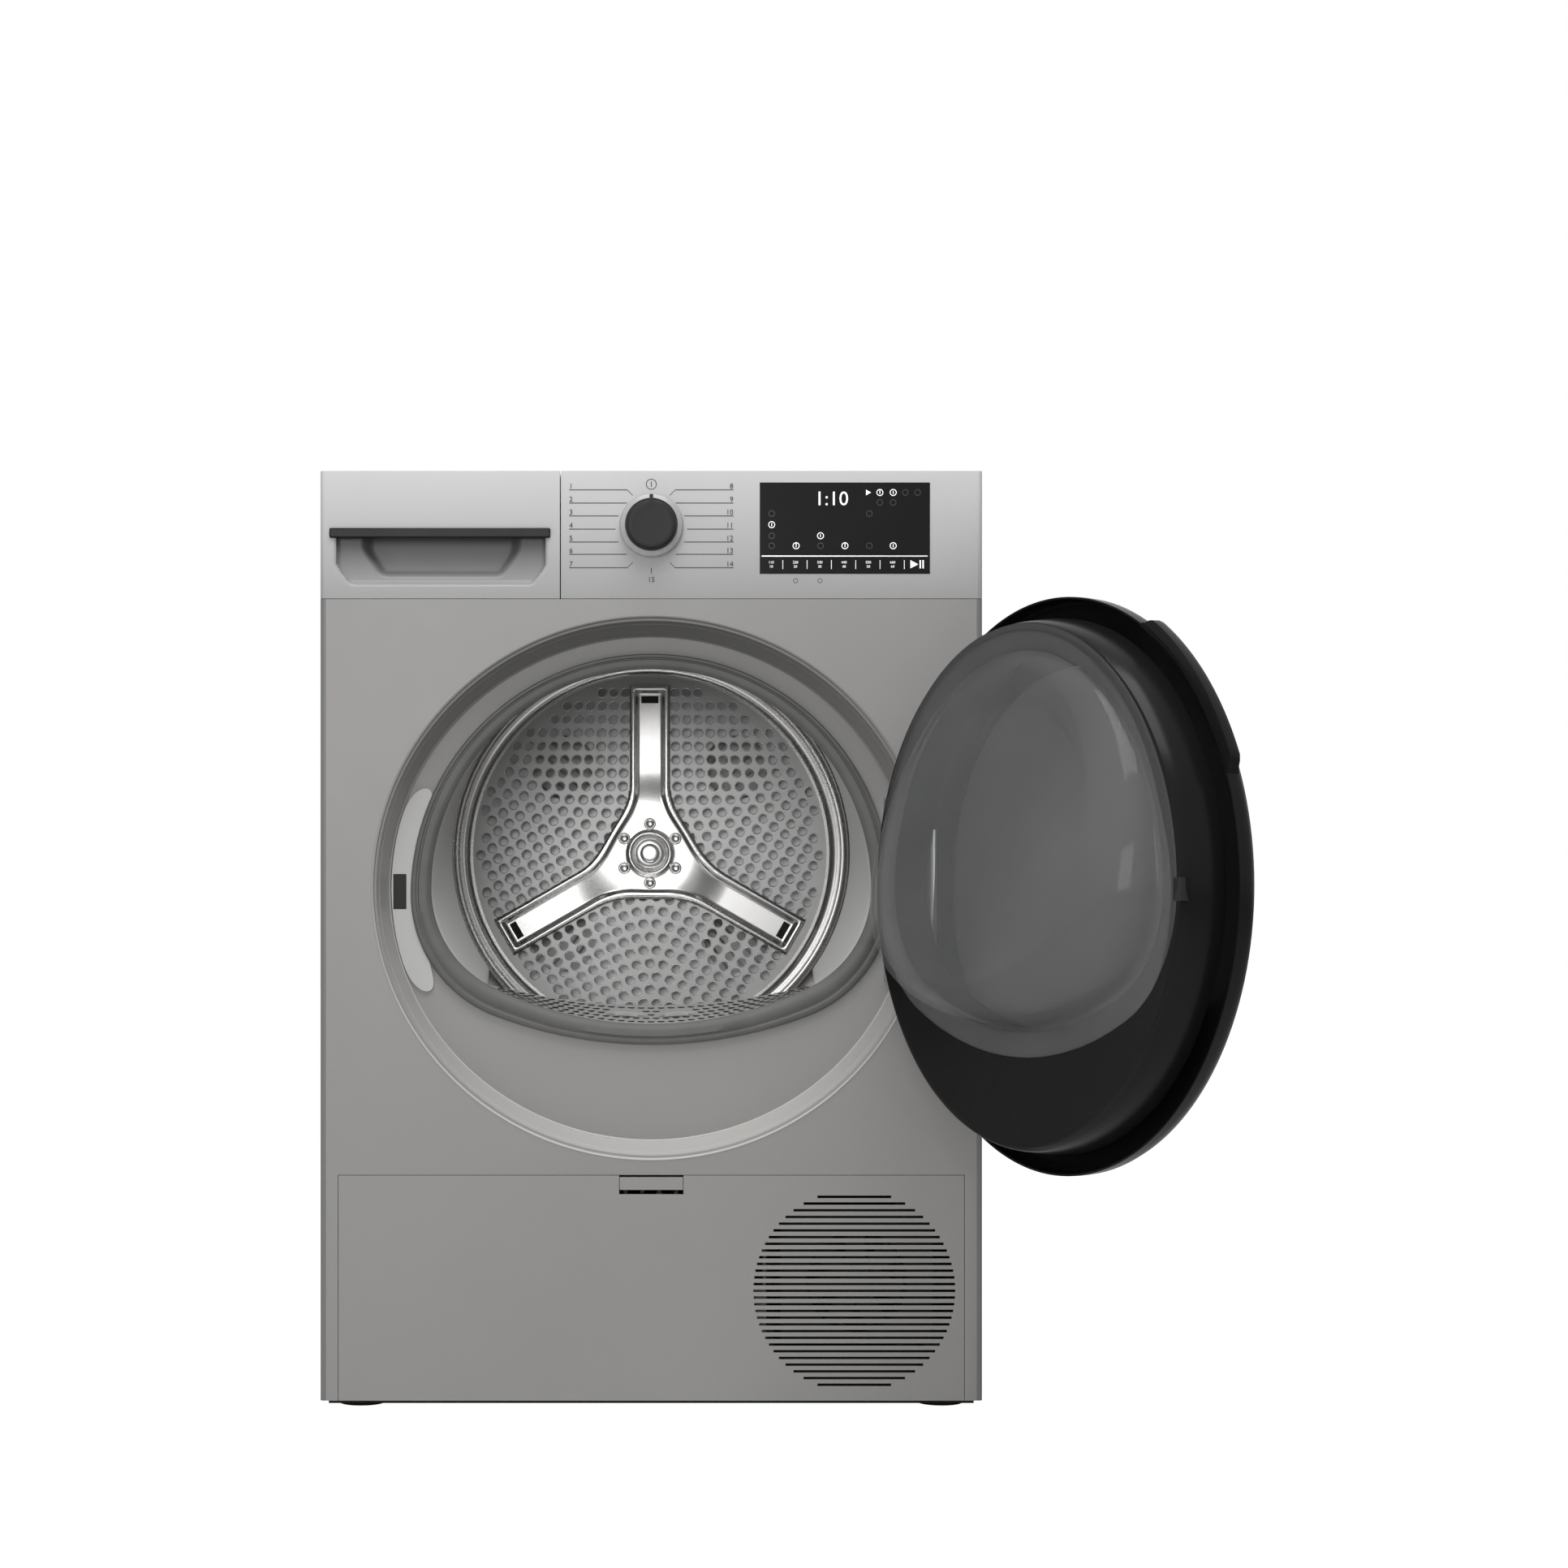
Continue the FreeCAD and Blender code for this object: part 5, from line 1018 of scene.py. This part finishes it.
class DRYER_OT_display(bpy.types.Operator):
    """Lights the display: time, plain symbols, the silver rule and the touch keys"""

    bl_idname = "dryer.display"
    bl_label = "Display"

    def execute(self, context):
        y0 = GLASS[0][1] - 0.15 * MM
        y1 = y0 + 0.3 * MM
        left, low = GLASS[0][0], GLASS[0][2]
        place = ("display", "cabinet", "lit")
        skin = (y0, y1, *place)
        thin = 0.1 * MM
        lit = [words("digits", "1:10", left + 64.5 * MM, low + 61.5 * MM, 13 * MM, y0, *place, depth=thin)]
        x = left + 95.5 * MM
        lit.append(slab("go", [(x, low + 70.5 * MM), (x, low + 75.5 * MM), (left + 100 * MM, low + 73 * MM)],
                        *skin))
        rule = bar(left + 1.5 * MM, left + 151 * MM, low + 15.2 * MM, low + 16.2 * MM)
        slab("display_rule", rule, y0, y1, "drum_steel", "cabinet", "silver")
        for n in range(6):
            x = left + (20.5 + 21.9 * n) * MM
            lit.append(slab(f"key_gap_{n}", bar(x - 0.25 * MM, x + 0.25 * MM, low + 4 * MM, low + 12 * MM),
                            *skin))
            for row, text in ((5.2, f"{n + 1}0"), (9.0, f"{n + 1}{n + 1}0")):
                lit.append(words(f"key_{n}_{row}", text, x - 10.5 * MM, low + row * MM, 2.4 * MM, y0, *place,
                                 depth=thin))
        x = left + 138.5 * MM
        play = [(x - 3 * MM, low + 4.6 * MM), (x - 3 * MM, low + 12 * MM), (x + 4 * MM, low + 8.3 * MM)]
        lit.append(slab("play", play, *skin))
        for n in (0, 1):
            start = x + (5.2 + 2.6 * n) * MM
            lit.append(slab(f"pause_{n}", bar(start, start + 1.3 * MM, low + 4.6 * MM, low + 12 * MM), *skin))
        spots = ((10.5, 44), (32.5, 25), (54.5, 34), (76.5, 25), (120, 25), (108, 73), (120, 73))
        for n, (dx, dz) in enumerate(spots):
            x, z = left + dx * MM, low + dz * MM
            lit.append(washer(f"symbol_{n}", x, z, 3.1, 2.4, y0, y1, 24, "display", "lit"))
            stem = bar(x - 0.35 * MM, x + 0.35 * MM, z - 1.4 * MM, z + (1.4 + n % 2) * MM)
            lit.append(slab(f"symbol_bar_{n}", stem, *skin))
        joined("display_marks", lit)
        spots = ((10.5, 34), (10.5, 54), (10.5, 25), (54.5, 25), (98.5, 25), (98.5, 54), (131, 73), (142, 73),
                 (108, 64), (120, 64))
        dim = [washer(f"dim_{n}", left + dx * MM, low + dz * MM, 2.9, 2.3, y0, y1, 16, "display", "unlit")
               for n, (dx, dz) in enumerate(spots)]
        joined("display_dim_marks", dim)
        small = [washer(f"hold_mark_{dx}", left + dx * MM, low - 6.5 * MM, 2.2, 1.7, PRINT_FRONT, PRINT_REAR,
                        20,
                        "black_plastic", "ink") for dx in (32, 54)]
        joined("hold_marks", small)
        return {"FINISHED"}


class DRYER_OT_drawer(bpy.types.Operator):
    """Moulds the drawer front with its smooth scoop, and its grip strip"""

    bl_idname = "dryer.drawer"
    bl_label = "Drawer front"

    def depth(self, x, z):
        """How far the face lies behind the cabinet's front plane."""
        left, right = STRIP[0][0] + 4 * MM, STRIP[1][0] - 2 * MM
        top, low = STRIP[0][2] + 4 * MM, DRAWER[0][2] + 12 * MM
        mid, half = (left + right) / 2, (right - left) / 2
        across = abs(x - mid)
        drop = max(0.0, (top - z) / (top - low))
        edge = half - 14 * MM * step(0.55, 1.1, drop)
        side = 1 - step(edge - 5 * MM, edge, across)
        floor = 1 - step(low - 1 * MM, low + 5 * MM, z) if z < low + 6 * MM else 0.0
        shallow = 6 * MM * side * (1 - floor) * (1 - step(top - 0.5 * MM, top, z))
        inner = half - 24 * MM - 18 * MM * step(0.2, 1.0, drop)
        well = (1 - step(inner - 10 * MM, inner, across)) * step(low + 7 * MM, low + 15 * MM, z)
        well *= 1 - step(top - 0.5 * MM, top, z)
        return shallow + 13 * MM * well

    def execute(self, context):
        (x0, y0, z0), (x1, y1, z1) = DRAWER
        columns, rows = 150, 90
        verts = []
        for j in range(rows + 1):
            for i in range(columns + 1):
                x, z = x0 + (x1 - x0) * i / columns, z0 + (z1 - z0) * j / rows
                corner = 4 * MM - (x - x0)
                turn = 4 * MM - math.sqrt(max(0.0, (4 * MM) ** 2 - corner ** 2)) if corner > 0 else 0.0
                verts.append((x, y0 + max(self.depth(x, z), turn), z))
        faces = grid_faces(rows + 1, columns + 1)
        back = len(verts)
        rim = [i for i in range(columns + 1)]
        rim += [j * (columns + 1) + columns for j in range(1, rows + 1)]
        rim += [rows * (columns + 1) + i for i in range(columns - 1, -1, -1)]
        rim += [j * (columns + 1) for j in range(rows - 1, 0, -1)]
        verts += [(verts[n][0], y1, verts[n][2]) for n in rim]
        count = len(rim)
        faces += [(rim[n], rim[(n + 1) % count], back + (n + 1) % count, back + n) for n in range(count)]
        faces.append(tuple(back + n for n in range(count)))
        piece = add_piece("drawer_front_moulding", verts, faces, "fascia_plastic", "drawer", smooth=60)
        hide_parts("drawer_front")
        # The scoop's inner skin carries painted shade, darkest at the top under the grip strip.
        deep = [n for n, v in enumerate(verts[:back]) if v[1] - y0 > 1.2 * MM and x0 + 6 * MM < v[0]]
        keep = {n: k for k, n in enumerate(deep)}
        inner = [tuple(keep[n] for n in face) for face in grid_faces(rows + 1, columns + 1)
                 if all(n in keep for n in face)]
        skin = [(verts[n][0], verts[n][1] - 0.15 * MM, verts[n][2]) for n in deep]
        add_piece("drawer_scoop", skin, inner, "fascia_plastic", "drawer", "scoop", smooth=60)
        strip = polish("drawer_grip")
        bevel = strip.modifiers.new("edge", "BEVEL")
        bevel.width = 1.2 * MM
        bevel.segments = 3
        return {"FINISHED"}


class DRYER_OT_door(bpy.types.Operator):
    """Moulds the open door: crowned shell, inner frame, smoked window and glass bowl"""

    bl_idname = "dryer.door"
    bl_label = "Door"

    def oval(self, a, b, back, z=0.0):
        """A swung ellipse about the door centre, back in front of the rim plane."""
        return swing(oval_ring(a * MM, b * MM, RIM_Y - back * MM, DOOR_Z + z * MM, 160))

    def execute(self, context):
        shell = [(190.5, 184.5, 26.4), (215, 208, 25), (239, 232, 19.5), (244.5, 237.5, 15),
                 (245.5, 238.5, 10), (245.5, 238.5, 0.2), (247.2, 240.2, 0.0), (247.2, 240.2, 6),
                 (246.8, 239.8, 11), (244.8, 237.8, 15.5), (240.5, 233.5, 18.8), (231, 224, 21.6),
                 (214, 207, 26), (192, 186, 28.6), (190.5, 184.5, 28.4)]
        rings = [self.oval(a, b, back) for a, b, back in shell]
        piece = skin_rings("door_shell_moulding", rings, "black_plastic", "door", smooth=50)
        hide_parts("door_shell")
        polish("door_window", finish="smoked_glass", angle=40)
        self.frame_ring()
        self.bowl()
        self.grip()
        return {"FINISHED"}

    def frame_ring(self):
        """The stepped black frame inside the door, open at its middle for the bowl."""
        sections = [(233.0, 222.0, 0.3), (233.0, 222.0, -10), (231.0, 220.0, -26), (228.5, 218.5, -33),
                    (226.5, 216.5, -36.5), (223.0, 214.5, -37.4), (219.5, 212.5, -37.2)]
        outer = [self.oval(a * 228 / 233, b, back) for a, b, back in sections]
        count = len(outer[0])
        plane = RIM_Y - sections[-1][2] * MM
        lip = mouth_ring(17.6 * MM, plane, 0, count // 5)
        seat = mouth_ring(17.4 * MM, plane - 2.4 * MM, 0, count // 5)
        inner = mouth_ring(-4.6 * MM, plane - 2.6 * MM, 0, count // 5)
        wall = mouth_ring(-4.6 * MM, RIM_Y + 0.3 * MM, 0, count // 5)
        inward = [self.aligned(swing(ring), outer[-1]) for ring in (lip, seat, inner, wall)]
        piece = skin_rings("door_frame_moulding", outer + inward, "dark_plastic", "door", "black_plastic",
                           smooth=40)
        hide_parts("door_frame")

    def aligned(self, ring, guide):
        """The ring's points, started opposite the guide's first point."""
        start = min(range(len(ring)), key=lambda n: (ring[n] - guide[0]).length)
        return ring[start:] + ring[:start]

    def bowl(self):
        """The glass bowl: a flat flange, then a smooth nose that deepens downwards."""
        plane = RIM_Y + 35 * MM
        skins = []
        for inset, back in ((0.0, 0.0), (3.5 * MM, -3.5 * MM)):
            rings = [mouth_ring(17.2 * MM - inset * 0.1, plane + (2.4 * MM if not inset else 0.1 * MM))]
            rings.append(mouth_ring(-2.5 * MM - inset, plane + (2.4 * MM if not inset else 0.0)))
            for n in range(1, 15):
                t = n / 14
                rings.append(self.nose_ring(t, plane + back, inset))
            skins.append([swing(ring) for ring in rings])
        outer, inner = skins
        count = len(outer[0])
        verts = [v for ring in outer + inner[::-1] for v in ring]
        total = len(outer) + len(inner)
        faces = grid_faces(total, count, True)
        faces = [f for f in faces if not (f[0] // count == len(outer) - 1 and f[3] // count == len(outer))]
        faces.append(tuple((len(outer) - 1) * count + n for n in range(count)))
        faces.append(tuple(len(outer) * count + n for n in range(count)))
        last = (total - 1) * count
        faces += [(last + j, last + (j + 1) % count, (j + 1) % count, j) for j in range(count)]
        piece = add_piece("door_bowl_glass", verts, faces, "clear_glass", "door", smooth=60)
        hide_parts("door_bowl")

    def nose_ring(self, t, plane, inset):
        """One ring of the nose, from its foot at 0 to its face at 1."""
        turn = t * math.pi / 2
        shrink = 1 - math.cos(turn)
        rise = math.sin(turn)
        foot_w, foot_h, lift = 0.196, 0.155, 34 * MM
        tip_w, tip_h, slope = 150 * MM, 116 * MM, math.tan(math.radians(15))
        ring = []
        for p in mouth_ring(-5 * MM - inset, plane):
            u, w = p.x / foot_w, (p.z - (MOUTH_Z + 38 * MM)) / foot_h
            reach = max(1.0, math.hypot(u, w))
            tip_x = tip_w * u / reach * 0.96
            tip_z = DOOR_Z + lift + tip_h * w / reach * 0.98
            depth = 40 * MM - (tip_z - DOOR_Z - lift) * slope
            x = p.x + (tip_x - p.x) * shrink
            z = p.z + (tip_z - p.z) * shrink
            ring.append(Vector((x, plane + depth * rise, z)))
        return ring

    def grip(self):
        """The widened rim that the fingers pull, on the free side above the middle."""
        count, start, sweep = 40, 119, 40
        rings = []
        for n in range(count + 1):
            turn = math.radians(start + sweep * n / count)
            ease = step(0, 3, min(n, count - n))
            out = 8.3 * MM * ease + 0.05 * MM
            top = out / MM
            section = [(-3, 1.0), (top, 1.0), (top + 0.1, 7.0), (top - 1.2 * ease, 11.4), (-3, 12.4)]
            rings.append([Vector(((247.3 + r) * MM * math.cos(turn), RIM_Y - back * MM,
                                  DOOR_Z + (240.3 + r) * MM * math.sin(turn))) for r, back in section])
        rings = [swing(ring) for ring in rings]
        skin_rings("door_grip", rings, "black_plastic", "door", cyclic=False, smooth=40)


class DRYER_OT_filter(bpy.types.Operator):
    """Lays rows of flat near-black discs on the lint filter's top: painted shade for its small slots"""

    bl_idname = "dryer.filter"
    bl_label = "Lint filter"

    def execute(self, context):
        low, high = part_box("lint_filter")
        made = NodeTree("filter_slot_shades", [("Radius", "NodeSocketFloat"), ("Material", "NodeSocketMaterial")])
        entry = made.entry.outputs
        disc = made.node("GeometryNodeMeshCylinder", None, Vertices=10, Radius=entry["Radius"], Depth=0.0004)
        holes = made.node("GeometryNodeInstanceOnPoints", None, Points=entry["Geometry"],
                          Instance=disc.outputs[0],
                          Scale=(1.45, 1.0, 1.0))
        made.finish(holes.outputs[0])
        points = []
        front_r, rear_r = 328 * MM, 587 * MM
        for row in range(5):
            y = low[1] + (4.5 + 6.6 * row) * MM
            share = (y - low[1]) / (36 * MM)
            for n in range(-15, 16):
                x = (n + 0.5 * (row % 2)) * 9.2 * MM
                if abs(x) > 143 * MM or (1 < row < 4 and 9 * MM < abs(x) < 37 * MM):
                    continue
                front = 674.2 * MM - math.sqrt(front_r ** 2 - x * x)
                rear = 949 * MM - math.sqrt(rear_r ** 2 - x * x)
                points.append((x, y, front + (rear - front) * share + 0.15 * MM))
        mesh = run_tree("filter_slot_shades", points, made, {"Radius": 2.3 * MM, "Material": FINISHES["pit"]})
        add_mesh("filter_slot_shades", mesh, "dark_plastic", "lint_filter", "pit")
        return {"FINISHED"}


class DRYER_OT_stage(bpy.types.Operator):
    """Sets the floor, the lamps, the world and the camera"""

    bl_idname = "dryer.stage"
    bl_label = "Stage"

    def execute(self, context):
        floor = Finish("floor")
        rays = floor.node("ShaderNodeLightPath")
        seen = floor.out(rays, "Is Camera Ray") * 0.82
        glow = floor.node("ShaderNodeEmission", None, Color=(1, 1, 1, 1), Strength=1.22)
        mix = floor.node("ShaderNodeMixShader", None, Fac=seen)
        floor.set(Base_Color=(0.86, 0.86, 0.86, 1), Roughness=0.9)
        floor.tree.links.new(floor.shader.outputs[0], mix.inputs[1])
        floor.tree.links.new(glow.outputs[0], mix.inputs[2])
        floor.tree.links.new(mix.outputs[0], floor.tree.nodes["Material Output"].inputs["Surface"])
        mesh = bpy.data.meshes.new("floor")
        reach = 14.0
        corners = [(-reach, -reach, 0), (reach, -reach, 0), (reach, reach, 0), (-reach, reach, 0)]
        mesh.from_pydata(corners, [], [(0, 1, 2, 3)])
        mesh.materials.append(floor.material)
        ground = bpy.data.objects.new("floor", mesh)
        context.scene.collection.objects.link(ground)
        self.world(context)
        for name, spot, aim, size, power in (
                ("lamp_top", (0.1, -1.2, 2.7), (0, 0, 0.5), 1.8, 60),
                ("lamp_front", (-0.5, -3.4, 1.1), (0, 0, 0.5), 1.2, 24),
                ("lamp_left", (-2.6, -1.6, 1.2), (0, 0, 0.5), 1.8, 12)):
            self.lamp(context, name, Vector(spot), Vector(aim), size, power)
        eye = bpy.data.cameras.new("camera")
        eye.lens = 72.6
        eye.sensor_width = 36
        eye.shift_x = 0.091
        eye.shift_y = 0.077
        eye.clip_end = 60
        camera = bpy.data.objects.new("camera", eye)
        camera.location = (-0.009, FRONT_Y - 2.85, 0.455)
        camera.rotation_euler = (math.pi / 2, 0, 0)
        context.scene.collection.objects.link(camera)
        context.scene.camera = camera
        context.scene.view_settings.view_transform = "Standard"
        return {"FINISHED"}

    def world(self, context):
        """A white surround for the camera and in reflections, and a softer one for the light."""
        world = bpy.data.worlds.new("studio")
        world.use_nodes = True
        context.scene.world = world
        tree = world.node_tree
        ground = tree.nodes["Background"]
        ground.inputs["Color"].default_value = (1, 1, 1, 1)
        rays = tree.nodes.new("ShaderNodeLightPath")
        direct = Signal(tree, rays.outputs["Is Camera Ray"]) + Signal(tree,
                                                                      rays.outputs["Is Transmission Ray"])
        shine = Signal(tree, rays.outputs["Is Glossy Ray"])
        strength = direct.maths("MINIMUM", 1.0) * 0.74 + shine * 0.5 + 0.26
        tree.links.new(strength.socket, ground.inputs["Strength"])

    def lamp(self, context, name, spot, aim, size, power):
        """A large soft square lamp."""
        light = bpy.data.lights.new(name, "AREA")
        light.size = size
        light.energy = power
        holder = bpy.data.objects.new(name, light)
        holder.location = spot
        holder.rotation_euler = (aim - spot).to_track_quat("-Z", "Y").to_euler()
        holder.visible_glossy = name != "lamp_left"
        context.scene.collection.objects.link(holder)


class DRYER_PT_panel(bpy.types.Panel):
    """Lists the dryer's pieces in the sidebar"""

    bl_label = "Clothes dryer"
    bl_idname = "DRYER_PT_panel"
    bl_space_type = "VIEW_3D"
    bl_region_type = "UI"
    bl_category = "Dryer"

    def draw(self, context):
        for made in OPERATORS:
            self.layout.operator(made.bl_idname)
        for name in DryerSizes.__annotations__:
            self.layout.prop(context.scene.dryer_sizes, name)
        for name in DryerColours.__annotations__:
            self.layout.prop(context.scene.dryer_colours, name)


OPERATORS = (
    DRYER_OT_stage, DRYER_OT_cabinet, DRYER_OT_recess, DRYER_OT_lock_plate, DRYER_OT_seal,
    DRYER_OT_drum_back, DRYER_OT_star, DRYER_OT_knob, DRYER_OT_prints, DRYER_OT_display,
    DRYER_OT_drawer, DRYER_OT_door, DRYER_OT_filter,
)
CLASSES = (DryerSizes, DryerColours, *OPERATORS, DRYER_PT_panel)


def register():
    for made in CLASSES:
        bpy.utils.register_class(made)
    bpy.types.Scene.dryer_sizes = bpy.props.PointerProperty(type=DryerSizes)
    bpy.types.Scene.dryer_colours = bpy.props.PointerProperty(type=DryerColours)


def unregister():
    del bpy.types.Scene.dryer_colours
    del bpy.types.Scene.dryer_sizes
    for made in reversed(CLASSES):
        bpy.utils.unregister_class(made)


def main():
    """Registers the add-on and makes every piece."""
    register()
    make_finishes()
    for made in OPERATORS:
        group, action = made.bl_idname.split(".")
        getattr(getattr(bpy.ops, group), action)()


if __name__ == "__main__":
    main()
